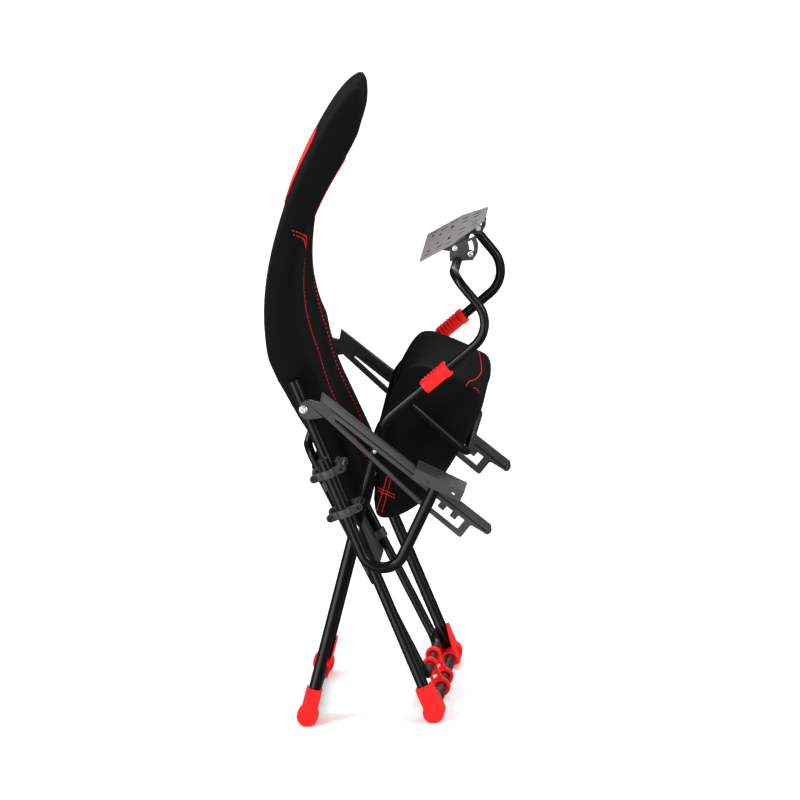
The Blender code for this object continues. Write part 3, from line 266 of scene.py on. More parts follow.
# Seat pan: side outline, half width, dish of the seat face and belly of the underside
PAN_OUTLINE = (
    (0.0310, 0.3800), (0.0780, 0.3770), (0.1275, 0.4072), (0.1584, 0.4442),
    (0.1900, 0.4900), (0.2214, 0.5373), (0.2385, 0.5680), (0.2445, 0.5890),
    (0.2415, 0.6045), (0.2300, 0.6170), (0.1860, 0.6410), (0.1340, 0.6640),
    (0.1040, 0.6535), (0.0715, 0.6035), (0.0515, 0.5455), (0.0395, 0.4600),
)
PAN_SEAT_POINTS = (11, 12, 13, 14)
PAN_BELLY_POINTS = (2, 3, 4, 5)
PAN_HALF = 0.180
PAN_DISH = 0.024
PAN_BELLY = 0.0081
PAN_CROWN_SHARE = 0.9
PAN_ROUNDING = ((1.0, 0.026), (0.975, 0.010), (0.90, 0.0), (0.62, 0.0), (0.30, 0.0))
PAN_SIDE_LINES = (
    ((0.0586, 0.4548), (0.0470, 0.4230), (0.0350, 0.3900)),
    ((0.0660, 0.4525), (0.0560, 0.4210), (0.0447, 0.3880)),
)
PAN_FRONT_SEAM = ((0.2190, -0.166), (0.2275, -0.110), (0.2335, -0.050), (0.2355, 0.0), (0.2335, 0.050),
                  (0.2275, 0.110), (0.2190, 0.166))
PAN_CORNER_SEAM = ((0.2325, -0.163), (0.2362, -0.156), (0.2400, -0.161))
PAN_TOP = 0.64
PAN_STITCH = {"Pitch": 0.0042, "Thread": 0.0008, "Fill": 0.44}
PAN_STITCH_LIFT = 0.0004
PAN_TACKS = (((0.0402, 0.4346), (0.0696, 0.4215)), ((0.0398, 0.4288), (0.0692, 0.4157)))

# Camera: a straight-on view, turned, raised and rolled a little
VIEW_TURN = radians(4.3)
VIEW_RISE = radians(11.5)
VIEW_ROLL = radians(3.85)
VIEW_WIDTH = 800 / 530
VIEW_CENTRE = Vector((0.0795, 0.0, 0.5653)) + PIVOT
VIEW_DISTANCE = 4.0

# Floor, room and lamps: name, place, height aimed at, width, height of a strip, power
FLOOR_HALF = 14.0
FLOOR_TONES = ((0.93, 0.93, 0.93), (0.95, 0.95, 0.95))
LAMPS = (
    ("left strip", (-1.9, -1.6, 0.55), 0.55, 0.35, 1.6, 24.0),
    ("right strip", (1.9, -1.5, 0.55), 0.55, 0.25, 1.6, 9.0),
    ("key", (-2.0, -2.5, 2.2), 0.6, 0.9, None, 60.0),
    ("side", (2.4, -1.5, 1.5), 0.6, 0.7, None, 30.0),
    ("top", (0.1, 0.9, 3.8), 0.6, 3.0, None, 38.0),
    ("back", (0.3, 5.0, 4.5), 0.6, 5.0, None, 210.0),
)
ROOM_LIGHT = 0.93
# What glossy surfaces see in place of the room: a soft light box that fades out round its way
SOFTBOX_WAY = Vector((-0.58, -0.79, -0.19)).normalized()
SOFTBOX_FALL = {"From Min": 0.83, "From Max": 0.985, "To Min": 0.12, "To Max": 4.5}

# Depth of the grain of a coat and of a cloth, and the roughness of cloth
COAT_RELIEF = 0.0004
CLOTH_RELIEF = 0.0006
CLOTH_ROUGHNESS = (0.82, 0.97)


# Node trees

def group_tree(name, kind, inputs, outputs):
    """A node group with named sockets, and what it is given and gives; inputs are (name, type, default)."""
    tree = bpy.data.node_groups.new(name, kind)
    for label, socket_type, default in inputs:
        socket = tree.interface.new_socket(label, in_out="INPUT", socket_type=socket_type)
        if default is not None:
            socket.default_value = default
    for label, socket_type in outputs:
        tree.interface.new_socket(label, in_out="OUTPUT", socket_type=socket_type)
    return tree, tree.nodes.new("NodeGroupInput").outputs, tree.nodes.new("NodeGroupOutput").inputs


def add_node(tree, kind, values=None, links=None, **settings):
    """A node with its settings, its unlinked values and the sockets that feed it."""
    node = tree.nodes.new(kind)
    for key, value in settings.items():
        setattr(node, key, value)
    for key, value in (values or {}).items():
        node.inputs[key].default_value = value
    for key, source in (links or {}).items():
        tree.links.new(source, node.inputs[key])
    return node


def noise(tree, coords, scale, detail=2.0, roughness=0.5):
    return add_node(tree, "ShaderNodeTexNoise", {"Detail": detail, "Roughness": roughness},
                    {"Vector": coords, "Scale": scale}).outputs["Fac"]


def coat_group():
    """Orange-peel grain of a coating, with slow drifts of tone and small scuffs."""
    tree, given, out = group_tree(
        "coat_grain", "ShaderNodeTree",
        [("Grain Scale", "NodeSocketFloat", 900.0), ("Drift Scale", "NodeSocketFloat", 14.0),
         ("Scuff Amount", "NodeSocketFloat", 0.2)],
        [("Height", "NodeSocketFloat"), ("Drift", "NodeSocketFloat"), ("Scuff", "NodeSocketFloat")])
    coords = add_node(tree, "ShaderNodeTexCoord").outputs["Object"]
    grain = noise(tree, coords, given["Grain Scale"], 2.0)
    drift = noise(tree, coords, given["Drift Scale"], 3.0)
    stretch = add_node(tree, "ShaderNodeMapping", {"Scale": (38.0, 60.0, 150.0)}, {"Vector": coords})
    marks = add_node(tree, "ShaderNodeTexNoise", {"Scale": 1.0, "Detail": 5.0, "Roughness": 0.7},
                     {"Vector": stretch.outputs["Vector"]}).outputs["Fac"]
    scuff = add_node(tree, "ShaderNodeMapRange", {"From Min": 0.66, "From Max": 0.80},
                     {"Value": marks, "To Max": given["Scuff Amount"]}).outputs["Result"]
    for label, socket in (("Height", grain), ("Drift", drift), ("Scuff", scuff)):
        tree.links.new(socket, out[label])
    return tree


def cloth_group():
    """Fine crossed yarns with a brushed nap over them."""
    tree, given, out = group_tree(
        "cloth_weave", "ShaderNodeTree",
        [("Yarn Scale", "NodeSocketFloat", 170.0), ("Nap Scale", "NodeSocketFloat", 1500.0)],
        [("Height", "NodeSocketFloat"), ("Nap", "NodeSocketFloat"), ("Drift", "NodeSocketFloat")])
    coords = add_node(tree, "ShaderNodeTexCoord").outputs["Object"]
    yarns = []
    for turn in ((0.0, 0.0, 0.0), (0.0, radians(90), radians(38))):
        laid = add_node(tree, "ShaderNodeMapping", {"Rotation": turn}, {"Vector": coords})
        wave = add_node(tree, "ShaderNodeTexWave", {"Distortion": 0.6, "Detail": 1.0},
                        {"Vector": laid.outputs["Vector"], "Scale": given["Yarn Scale"]},
                        bands_direction="DIAGONAL")
        yarns.append(wave.outputs["Fac"])
    weave = add_node(tree, "ShaderNodeMath", operation="MULTIPLY", links={0: yarns[0], 1: yarns[1]})
    nap = noise(tree, coords, given["Nap Scale"], 3.0, 0.65)
    both = add_node(tree, "ShaderNodeMath", operation="MULTIPLY_ADD",
                    values={1: 0.55}, links={0: weave.outputs[0], 2: nap})
    drift_scale = add_node(tree, "ShaderNodeMath", operation="MULTIPLY", values={1: 0.006},
                           links={0: given["Nap Scale"]})
    drift = noise(tree, coords, drift_scale.outputs[0], 4.0, 0.6)
    for label, socket in (("Height", both.outputs[0]), ("Nap", nap), ("Drift", drift)):
        tree.links.new(socket, out[label])
    return tree


COAT = coat_group()
CLOTH = cloth_group()


def output(node, kind):
    """The output of a node that has a given type."""
    return next(o for o in node.outputs if o.type == kind)


def principled(name, **constants):
    mat = bpy.data.materials.new(name)
    mat.use_nodes = True
    shader = mat.node_tree.nodes["Principled BSDF"]
    for label, value in constants.items():
        shader.inputs[label.replace("_", " ")].default_value = value
    return mat, mat.node_tree, shader


def tint(tree, mask, low, high):
    """A colour that goes from low to high with a mask."""
    ramp = add_node(tree, "ShaderNodeMix", data_type="RGBA", links={"Factor": mask})
    ramp.inputs["A"].default_value = (*low, 1.0)
    ramp.inputs["B"].default_value = (*high, 1.0)
    return output(ramp, "RGBA")


def spread(tree, mask, low, high):
    """A value that goes from low to high over the middle half of a mask."""
    ends = {"From Min": 0.25, "From Max": 0.75, "To Min": low, "To Max": high}
    return add_node(tree, "ShaderNodeMapRange", ends, {"Value": mask}).outputs["Result"]


def connect(tree, shader, colour, rough, bump, depth, height):
    """Feed a finish: its colour, its roughness and the relief of its grain."""
    relief = add_node(tree, "ShaderNodeBump", {"Strength": bump, "Distance": depth}, {"Height": height})
    for label, socket in (("Base Color", colour), ("Roughness", rough), ("Normal", relief.outputs["Normal"])):
        tree.links.new(socket, shader.inputs[label])


def coated(name, low, high, worn, rough, grain, drift, scuffs, bump, **constants):
    """A coated or moulded finish: grain in the bump, drift in tone and gloss, scuffs on top."""
    mat, tree, shader = principled(name, **constants)
    coat = add_node(tree, "ShaderNodeGroup", node_tree=COAT,
                    values={"Grain Scale": grain, "Drift Scale": drift, "Scuff Amount": scuffs}).outputs
    over = add_node(tree, "ShaderNodeMix", data_type="RGBA",
                    links={"Factor": coat["Scuff"], "A": tint(tree, coat["Drift"], low, high)})
    over.inputs["B"].default_value = (*worn, 1.0)
    gloss = spread(tree, coat["Drift"], *rough)
    connect(tree, shader, output(over, "RGBA"), gloss, bump, COAT_RELIEF, coat["Height"])
    return mat


def cloth(name, low, high, yarn, nap, bump, sheen, gloss):
    """A woven finish: yarns and nap in the bump, nap and drift in tone, drift in gloss."""
    mat, tree, shader = principled(name, Sheen_Weight=sheen, Sheen_Roughness=0.5, Specular_IOR_Level=gloss)
    weave = add_node(tree, "ShaderNodeGroup", node_tree=CLOTH,
                     values={"Yarn Scale": yarn, "Nap Scale": nap}).outputs
    mix = add_node(tree, "ShaderNodeMath", operation="MULTIPLY_ADD", values={1: 0.5},
                   links={0: weave["Nap"], 2: weave["Drift"]})
    colour = tint(tree, spread(tree, mix.outputs[0], 0.0, 1.0), low, high)
    rough = spread(tree, weave["Drift"], *CLOTH_ROUGHNESS)
    connect(tree, shader, colour, rough, bump, CLOTH_RELIEF, weave["Height"])
    return mat


MATERIALS = {
    "black_tube": coated("satin_black_coat", (0.0022, 0.0022, 0.0024), (0.0046, 0.0046, 0.0050),
                         (0.03, 0.03, 0.03), (0.22, 0.29), 1400.0, 9.0, 0.25, 0.08,
                         Specular_IOR_Level=0.17),
    "dark_grey_metal": coated("dark_grey_coat", (0.022, 0.0225, 0.0235), (0.034, 0.0345, 0.036),
                              (0.11, 0.11, 0.112), (0.40, 0.52), 1700.0, 16.0, 0.25, 0.40,
                              Specular_IOR_Level=0.30),
    "grey_plate": coated("grey_plate_coat", (0.132, 0.132, 0.133), (0.176, 0.176, 0.177),
                         (0.30, 0.30, 0.30), (0.45, 0.58), 1700.0, 20.0, 0.25, 0.40,
                         Specular_IOR_Level=0.30),
    "red_plastic": coated("red_moulding", (0.66, 0.008, 0.009), (0.76, 0.012, 0.012),
                          (0.80, 0.06, 0.055), (0.36, 0.48), 1100.0, 18.0, 0.12, 0.12,
                          Specular_IOR_Level=0.12),
    "black_plastic": coated("black_moulding", (0.006, 0.006, 0.006), (0.011, 0.011, 0.011),
                            (0.04, 0.04, 0.04), (0.40, 0.52), 1100.0, 18.0, 0.20, 0.18,
                            Specular_IOR_Level=0.25),
    "zinc_steel": coated("zinc_plating", (0.70, 0.71, 0.73), (0.84, 0.84, 0.85),
                         (0.92, 0.92, 0.92), (0.20, 0.34), 1500.0, 60.0, 0.40, 0.08, Metallic=0.85),
    "black_steel": coated("blackened_steel", (0.008, 0.008, 0.009), (0.018, 0.018, 0.020),
                          (0.10, 0.10, 0.10), (0.28, 0.40), 1500.0, 60.0, 0.35, 0.10, Metallic=0.3,
                          Specular_IOR_Level=0.3),
    "black_fabric": cloth("black_suede_cloth", (0.0012, 0.0012, 0.0013), (0.0036, 0.0036, 0.0038),
                          170.0, 1500.0, 0.5, 0.006, 0.035),
}
# Painted shade: a near-black coat laid on the walls of the wheel plate's slots and in the grooves of the
# arms, where shade falls
PAINTED_SLOT_SHADE = coated("slot_shadow_coat", (0.008, 0.008, 0.008), (0.014, 0.014, 0.014),
                   (0.08, 0.08, 0.08), (0.55, 0.68), 1700.0, 20.0, 0.2, 0.3, Specular_IOR_Level=0.2)
THREAD = cloth("red_thread", (0.50, 0.008, 0.010), (0.80, 0.018, 0.020), 400.0, 2600.0, 0.5, 0.02, 0.12)
RED_CLOTH = cloth("red_panel_cloth", (0.42, 0.006, 0.008), (0.62, 0.012, 0.014),
                  210.0, 1500.0, 0.5, 0.02, 0.10)


# Piece helpers

def new_object(name, mesh):
    obj = bpy.data.objects.new(name, mesh)
    bpy.context.scene.collection.objects.link(obj)
    return obj


def smooth(mesh, angle=35.0):
    mesh.shade_smooth()
    mesh.set_sharp_from_angle(angle=radians(angle))


def plain(bm, name, *materials):
    """An object from loose faces, with its finishes."""
    mesh = bpy.data.meshes.new(name)
    bm.to_mesh(mesh)
    bm.free()
    for material in materials:
        mesh.materials.append(material)
    return new_object(name, mesh)


def outward(bm, name, *materials):
    """The same, with all faces turned outwards first."""
    bmesh.ops.recalc_face_normals(bm, faces=bm.faces)
    return plain(bm, name, *materials)


def skin(bm, rings):
    """Close a row of equal rings of points into a solid and give back its faces."""
    rows = [[bm.verts.new(p) for p in ring] for ring in rings]
    count = len(rows[0])
    faces = [bm.faces.new((one[k], one[(k + 1) % count], two[(k + 1) % count], two[k]))
             for one, two in zip(rows, rows[1:]) for k in range(count)]
    return faces + [bm.faces.new(rows[0]), bm.faces.new(list(reversed(rows[-1])))]


def add_modifier(obj, kind, **settings):
    modifier = obj.modifiers.new(kind.lower(), kind)
    for key, value in settings.items():
        setattr(modifier, key, value)
    return modifier


def bake(obj, name):
    """The evaluated shape as a plain mesh object at the origin; the source goes."""
    bpy.context.view_layer.update()
    graph = bpy.context.evaluated_depsgraph_get()
    mesh = bpy.data.meshes.new_from_object(obj.evaluated_get(graph))
    data = obj.data
    bpy.data.objects.remove(obj, do_unlink=True)
    if isinstance(data, bpy.types.Curve):
        bpy.data.curves.remove(data)
    mesh.name = name
    return new_object(name, mesh)


def edged(source, name, width, sharp=40.0, corner=50, segments=2):
    """Bake a shape with its corners rounded where they turn by more than a number of degrees."""
    add_modifier(source, "BEVEL", width=width, segments=segments, limit_method="ANGLE",
                 angle_limit=radians(corner))
    made = bake(source, name)
    smooth(made.data, sharp)
    return made


def settle(obj, nodes, body=None):
    """Hang a piece on its body and hide the CAD nodes it stands in for."""
    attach(obj, body or BODY_OF[nodes[0]])
    if nodes:
        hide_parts(*nodes)
    return obj


def place(points):
    return [Vector(p) + PIVOT for p in points]


def run_tree(name, source, tree, values):
    """Run a geometry tree on a source object and keep the result as a mesh."""
    modifier = source.modifiers.new(tree.name, "NODES")
    modifier.node_group = tree
    sockets = {item.name: item.identifier for item in tree.interface.items_tree
               if item.item_type == "SOCKET" and item.in_out == "INPUT"}
    for label, value in values.items():
        modifier[sockets[label]] = value
    source.update_tag()
    return bake(source, name)


def path_curve(name, points, closed=False):
    curve = bpy.data.curves.new(name, "CURVE")
    curve.dimensions = "3D"
    spline = curve.splines.new("POLY")
    spline.points.add(len(points) - 1)
    for target, point in zip(spline.points, points):
        target.co = (*point, 1.0)
    spline.use_cyclic_u = closed
    return new_object(name, curve)


def geometry_group(name, inputs):
    return group_tree(name, "GeometryNodeTree", [("Geometry", "NodeSocketGeometry", None)] + inputs,
                      [("Geometry", "NodeSocketGeometry")])


def finish_tree(tree, out, given, shapes):
    """End a geometry tree: plain mesh, one finish."""
    real = add_node(tree, "GeometryNodeRealizeInstances", links={"Geometry": shapes})
    paint = add_node(tree, "GeometryNodeSetMaterial",
                     links={"Geometry": real.outputs["Geometry"], "Material": given["Material"]})
    tree.links.new(paint.outputs["Geometry"], out["Geometry"])
    return tree


def tube_tree():
    """A round tube along a path."""
    tree, given, out = geometry_group("bent_tube", [
        ("Radius", "NodeSocketFloat", FRAME_R), ("Sides", "NodeSocketInt", TUBE_SIDES),
        ("Material", "NodeSocketMaterial", None)])
    ring = add_node(tree, "GeometryNodeCurvePrimitiveCircle",
                    links={"Resolution": given["Sides"], "Radius": given["Radius"]})
    tube = add_node(tree, "GeometryNodeCurveToMesh", {"Fill Caps": True},
                    {"Curve": given["Geometry"], "Profile Curve": ring.outputs["Curve"]})
    return finish_tree(tree, out, given, tube.outputs["Mesh"])


def stitch_tree():
    """Short threads laid end to end along a path."""
    tree, given, out = geometry_group("stitch_row", [
        ("Pitch", "NodeSocketFloat", 0.005), ("Thread", "NodeSocketFloat", 0.0006),
        ("Fill", "NodeSocketFloat", 0.42), ("Material", "NodeSocketMaterial", None)])
    along = add_node(tree, "GeometryNodeResampleCurve", mode="LENGTH",
                     links={"Curve": given["Geometry"], "Length": given["Pitch"]})
    ball = add_node(tree, "GeometryNodeMeshUVSphere", {"Segments": 8, "Rings": 6, "Radius": 1.0})
    reach = add_node(tree, "ShaderNodeMath", operation="MULTIPLY",
                     links={0: given["Pitch"], 1: given["Fill"]})
    thin = given["Thread"]
    size = add_node(tree, "ShaderNodeCombineXYZ", links={"X": thin, "Y": thin, "Z": reach.outputs[0]})
    thread = add_node(tree, "GeometryNodeTransform",
                      links={"Geometry": ball.outputs["Mesh"], "Scale": size.outputs["Vector"]})
    round_off = add_node(tree, "GeometryNodeSetShadeSmooth", links={"Geometry": thread.outputs["Geometry"]})
    tangent = add_node(tree, "GeometryNodeInputTangent")
    turn = add_node(tree, "FunctionNodeAlignRotationToVector", axis="Z",
                    links={"Vector": tangent.outputs["Tangent"]})
    rows = add_node(tree, "GeometryNodeInstanceOnPoints",
                    links={"Points": along.outputs["Curve"], "Instance": round_off.outputs["Geometry"],
                           "Rotation": turn.outputs["Rotation"]})
    return finish_tree(tree, out, given, rows.outputs["Instances"])


def repeat_tree():
    """One shape copied to each point of a mesh, turned along the point's own normal."""
    tree, given, out = geometry_group("repeat_on_points", [
        ("Shape", "NodeSocketObject", None), ("Material", "NodeSocketMaterial", None)])
    shape = add_node(tree, "GeometryNodeObjectInfo", links={"Object": given["Shape"]},
                     transform_space="ORIGINAL")
    way = add_node(tree, "GeometryNodeInputNamedAttribute", {"Name": "way"}, data_type="FLOAT_VECTOR")
    turn = add_node(tree, "FunctionNodeAlignRotationToVector", axis="Z",
                    links={"Vector": output(way, "VECTOR")})
    spin = add_node(tree, "GeometryNodeInputNamedAttribute", {"Name": "spin"}, data_type="FLOAT_VECTOR")
    steady = add_node(tree, "FunctionNodeAlignRotationToVector", axis="X", pivot_axis="Z",
                      links={"Rotation": turn.outputs["Rotation"], "Vector": output(spin, "VECTOR")})
    copies = add_node(tree, "GeometryNodeInstanceOnPoints",
                      links={"Points": given["Geometry"], "Instance": shape.outputs["Geometry"],
                             "Rotation": steady.outputs["Rotation"]})
    return finish_tree(tree, out, given, copies.outputs["Instances"])


TUBE = tube_tree()
STITCH = stitch_tree()
REPEAT = repeat_tree()


def repeated(name, shape, points, ways, material, spin=(0.0, 0.0, 1.0)):
    """Copies of a shape at points, its Z along each way and its X towards spin."""
    cloud = bpy.data.meshes.new(name)
    cloud.from_pydata([tuple(p) for p in points], [], [])
    for label, vectors in (("way", ways), ("spin", [spin] * len(points))):
        layer = cloud.attributes.new(label, "FLOAT_VECTOR", "POINT")
        for item, vector in zip(layer.data, vectors):
            item.vector = vector
    source = new_object(name + "_points", cloud)
    made = run_tree(name, source, REPEAT, {"Shape": shape, "Material": material})
    data = shape.data
    bpy.data.objects.remove(shape, do_unlink=True)
    bpy.data.meshes.remove(data)
    return made


def bent_tube(node, points, radius, closed=False):
    source = path_curve(node + "_path", place(points), closed)
    made = run_tree(node + "_tube", source, TUBE,
                    {"Radius": radius, "Sides": TUBE_SIDES, "Material": MATERIALS["black_tube"]})
    smooth(made.data, 50.0)
    return settle(made, [node])


def rounded_path(points, radii, closed=False):
    """Replace each corner of a path by an arc, of one radius or of its own."""
    corners = [Vector(p) for p in points]
    count = len(corners)
    if not isinstance(radii, tuple):
        radii = (radii,) * count
    path = []
    for i, corner in enumerate(corners):
        if not closed and i in (0, count - 1):
            path.append(corner)
            continue
        before = (corners[i - 1] - corner).normalized()
        after = (corners[(i + 1) % count] - corner).normalized()
        half = before.angle(after) / 2
        reach = radii[i] / tan(half)
        centre = corner + (before + after).normalized() * (radii[i] / sin(half))
        first = corner + before * reach - centre
        last = corner + after * reach - centre
        axis = first.cross(last).normalized()
        sweep = first.angle(last)
        for step in range(BEND_STEPS + 1):
            path.append(centre + Matrix.Rotation(sweep * step / BEND_STEPS, 3, axis) @ first)
    return path


def turned(name, profile, sides=32):
    """A turned shape about Z from (radius, height) points, closed at both ends."""
    bm = bmesh.new()
    turns = [2 * pi * k / sides for k in range(sides)]
    skin(bm, [[(radius * cos(t), radius * sin(t), height) for t in turns] for radius, height in profile])
    made = outward(bm, name)
    smooth(made.data)
    return made


def softened(node, width, segments=2, cutter=None):
    """A copy of a CAD node with its flat faces joined and its edges rounded."""
    bm = bmesh.new()
    bm.from_mesh(NODES[node].data)
    bmesh.ops.remove_doubles(bm, verts=bm.verts, dist=WELD)
    bmesh.ops.dissolve_limit(bm, angle_limit=FLAT_ANGLE, verts=bm.verts, edges=bm.edges)
    source = plain(bm, node + "_edges", MATERIALS[SLOT_OF[node]])
    if cutter:
        add_modifier(source, "BOOLEAN", operation="DIFFERENCE", object=cutter, solver="EXACT")
    made = edged(source, node + "_shape", width, corner=32, segments=segments)
    add_modifier(made, "WEIGHTED_NORMAL", keep_sharp=True)
    return settle(bake(made, node + "_finish"), [node])


# Tubes

def back_line(z):
    return (PIVOT_HEIGHT - z) * BACK_LEAN


def leg_line(z):
    return (z - PIVOT_HEIGHT) * LEG_LEAN


def mirrored(half):
    return half + [Vector((p.x, -p.y, p.z)) for p in reversed(half)]


def build_frame_tubes():
    """The back tubes, the legs with their bent upper runs, and the two cross tubes."""
    leg_up = Vector((LEG_LEAN, 0, 1)).normalized()
    reach = (leg_line(SLEEVE_START.z) - SLEEVE_START.x) / (UPPER.x - LEG_LEAN * UPPER.z)
    low = Vector((leg_line(CROSS_TUBE_Z), 0, CROSS_TUBE_Z)) + leg_up * SOCKET_START
    knee, end = (SLEEVE_START + UPPER * along for along in (reach, LEG_END_IN_SLEEVE))
    leg = rounded_path([low, knee, end], UPPER_BEND_R)
    for side, sign in SIDES:
        foot = Vector((back_line(CROSS_TUBE_Z), sign * BACK_TUBE_Y, CROSS_TUBE_Z)) + BACK_UP * SOCKET_START
        top = Vector((back_line(BACK_TUBE_TOP), sign * BACK_TUBE_Y, BACK_TUBE_TOP))
        bent_tube(f"back_tube_{side}", [foot, top], FRAME_R)
        bent_tube(f"leg_tube_{side}", [p + Vector((0, sign * LEG_TUBE_Y, 0)) for p in leg], FRAME_R)
    for node, line, wide in (("front_cross_tube", back_line, BACK_TUBE_Y),
                             ("rear_cross_tube", leg_line, LEG_TUBE_Y)):
        ends = [(line(CROSS_TUBE_Z), sign * (wide - CROSS_END), CROSS_TUBE_Z) for sign in (-1, 1)]
        bent_tube(node, ends, FRAME_R)


def build_hoop_and_brace():
    half = [SLEEVE_START + UPPER * along + Vector((0, LEG_TUBE_Y, 0))
            for along in (LEG_END_IN_SLEEVE - HOOP_INSERT, HOOP_FRONT_CORNER)]
    half.append(Vector((HOOP_TOP[0], LEG_TUBE_Y, HOOP_TOP[1])))
    bends = (0, HOOP_FRONT_BEND_R, HOOP_TOP_BEND_R, HOOP_TOP_BEND_R, HOOP_FRONT_BEND_R, 0)
    bent_tube("wheel_hoop", rounded_path(mirrored(half), bends), HOOP_R)
    join_y = LEG_TUBE_Y - FRAME_R - BRACE_R - CLOSE_FIT
    half = [Vector((BRACE_JOIN[0], join_y, BRACE_JOIN[1])),
            Vector((BRACE_CORNER[0], BRACE_CORNER_Y, BRACE_CORNER[1]))]
    bent_tube("seat_brace", rounded_path(mirrored(half), BRACE_BEND_R), BRACE_R)


def build_shifter_tube():
    rise = tan(SHIFTER_RISE)
    corner_z = (SHIFTER_FOOT[0] - rise * SHIFTER_FOOT[1] - BACK_LEAN * PIVOT_HEIGHT) / -(BACK_LEAN + rise)
    along = Vector((sin(SHIFTER_RISE), 0, cos(SHIFTER_RISE)))
    start, corner = (Vector((back_line(z), -SHIFTER_Y, z)) for z in (SHIFTER_TOP_Z, corner_z))
    top = Vector((SHIFTER_FOOT[0], -SHIFTER_Y, SHIFTER_FOOT[1])) + along * SHIFTER_REACH
    bent_tube("shifter_tube", rounded_path([start, corner, top], SHIFTER_BEND_R), FRAME_R)


def build_pedal_loop():
    ends = ((0, -LOOP_HALF), (LOOP_LENGTH, -LOOP_HALF), (LOOP_LENGTH, LOOP_HALF), (0, LOOP_HALF))
    corners = [Vector((LOOP_FOOT[0] - u * sin(LOOP_LEAN), y, LOOP_FOOT[1] + u * cos(LOOP_LEAN)))
               for u, y in ends]
    bent_tube("pedal_loop", rounded_path(corners, LOOP_BEND_R, closed=True), PEDAL_R, closed=True)


# Hard parts

def pairs(*names):
    return [f"{name}_{side}" for name in names for side, _ in SIDES]


# Width of the rounding, and the nodes that have it
SOFT_EDGES = {
    0.0004: ["wheel_plate", "pedal_plate"],
    0.0010: ["shifter_bracket", *pairs("tilt_quadrant", "pedal_saddle_lower", "pedal_saddle_upper"),
             "shifter_tube_plug", *pairs("pivot_spacer", "slot_pin")],
    0.0018: pairs("recline_arm", "pedal_clip"),
}


def build_hard_parts():
    for width, nodes in SOFT_EDGES.items():
        for node in nodes:
            softened(node, width, 3 if width > WIDE_EDGE else 2)


def paint_slot_shade():
    """Paint shade on the walls of the wheel plate's slots: they take a darker coat than its faces, as painted
    shade.
    """
    plate = bpy.data.objects["wheel_plate_finish"]
    plate.data.materials.append(PAINTED_SLOT_SHADE)
    tilt = radians(PLATE_TILT)
    along = Vector((cos(tilt), 0, sin(tilt)))
    face_way = Vector((-sin(tilt), 0, cos(tilt)))
    rear = Vector((PLATE_REAR[0], 0, PLATE_REAR[1])) + PIVOT
    taper = (PLATE_HALF - PLATE_FRONT_HALF) / (PLATE_LENGTH - PLATE_KINK)
    for face in plate.data.polygons:
        spot = face.center - rear
        u = spot.dot(along)
        room = PLATE_HALF - taper * max(0, u - PLATE_KINK)
        inside = PLATE_RIM < u < PLATE_LENGTH - PLATE_RIM and abs(spot.y) < room - PLATE_RIM
        # Sideways walls inside the plate take the second finish, the painted shade
        if inside and abs(face.normal.dot(face_way)) < SLOT_WALL_TURN:
            face.material_index = 1


def strap(name, rows, to_space):
    """A band from rows of (inner point, outer point, half width), with softened edges."""
    bm = bmesh.new()
    skin(bm, [[to_space(*low, -half), to_space(*high, -half), to_space(*high, half), to_space(*low, half)]
              for low, high, half in rows])
    return edged(outward(bm, name + "_edges", MATERIALS["dark_grey_metal"]), name, BAND_EDGE, sharp=45.0)


def build_clamps():
    """Half straps with round ears, one half round each tube."""
    bore = FRAME_R + CLOSE_FIT
    wall = bore + CLAMP_STRAP
    ear_r = CLAMP_WIDTH / 2
    ear = []
    for k in range(EAR_STEPS + 1):
        turn = radians(EAR_TURN - EAR_TURN * k / EAR_STEPS)
        u = CLAMP_BOLT_OFFSET + ear_r * sin(turn)
        ear.append(((u, 0.0), (u, CLAMP_STRAP), max(EAR_TIP, ear_r * cos(turn))))
    arc = []
    for k in range(ARC_STEPS + 1):
        turn = radians(ARC_START + (180 - 2 * ARC_START) * k / ARC_STEPS)
        outer = (wall * cos(turn) * ARC_SPREAD, max(CLAMP_STRAP, wall * sin(turn)))
        arc.append(((bore * cos(turn), bore * sin(turn)), outer, ear_r))
    other = [((-low[0], low[1]), (-high[0], high[1]), half) for low, high, half in reversed(ear)]
    for label, height in zip(("lower", "upper"), CLAMP_HEIGHTS):
        centre = Vector((back_line(height), 0, height)) + PIVOT
        for half_name, y, way in (("outer", SHIFTER_Y, 1), ("inner", BACK_TUBE_Y, -1)):
            node = f"clamp_{label}_{half_name}"
            made = strap(node + "_strap", ear + arc + other, lambda u, v, w: (
                centre + BACK_ACROSS * u + BACK_UP * w + Vector((0, -(y + way * v), 0))))
            settle(made, [node])


def round_hull(circles, sides=14):
    """Outline round a set of (x, z, radius) discs."""
    points = [Vector((x + r * cos(2 * pi * k / sides), z + r * sin(2 * pi * k / sides)))
              for x, z, r in circles for k in range(sides)]
    order = geometry.convex_hull_2d(points)
    return [points[k] for k in order]


def build_tilt_tabs():
    """Ears under the wheel plate: a web to the pivot bolt and a thin link to the lock bolt."""
    tilt = radians(PLATE_TILT)
    edge = [(PLATE_REAR[0] + u * cos(tilt) + TAB_DROP * sin(tilt),
             PLATE_REAR[1] + u * sin(tilt) - TAB_DROP * cos(tilt), TAB_CORNER_R) for u in TAB_ON_PLATE]
    outlines = (round_hull([(*TILT_PIVOT, TAB_PIVOT_R)] + edge),
                round_hull([(*TILT_PIVOT, TAB_LINK_R), (*lock_place(), TAB_LOCK_R)]))
    outer = QUADRANT_FACE_Y - TAB_GAP
    for side, sign in SIDES:
        bm = bmesh.new()
        for outline, shrink in zip(outlines, (0.0, CLOSE_FIT)):
            prism(bm, outline, outer - shrink, outer - TAB_THICK + shrink,
                  lambda x, z, y: Vector((x, sign * y, z)) + PIVOT)
        source = outward(bm, f"plate_tab_{side}_edges", MATERIALS["dark_grey_metal"])
        settle(edged(source, f"plate_tab_{side}_finish", SHEET_EDGE), [f"plate_tab_{side}"])


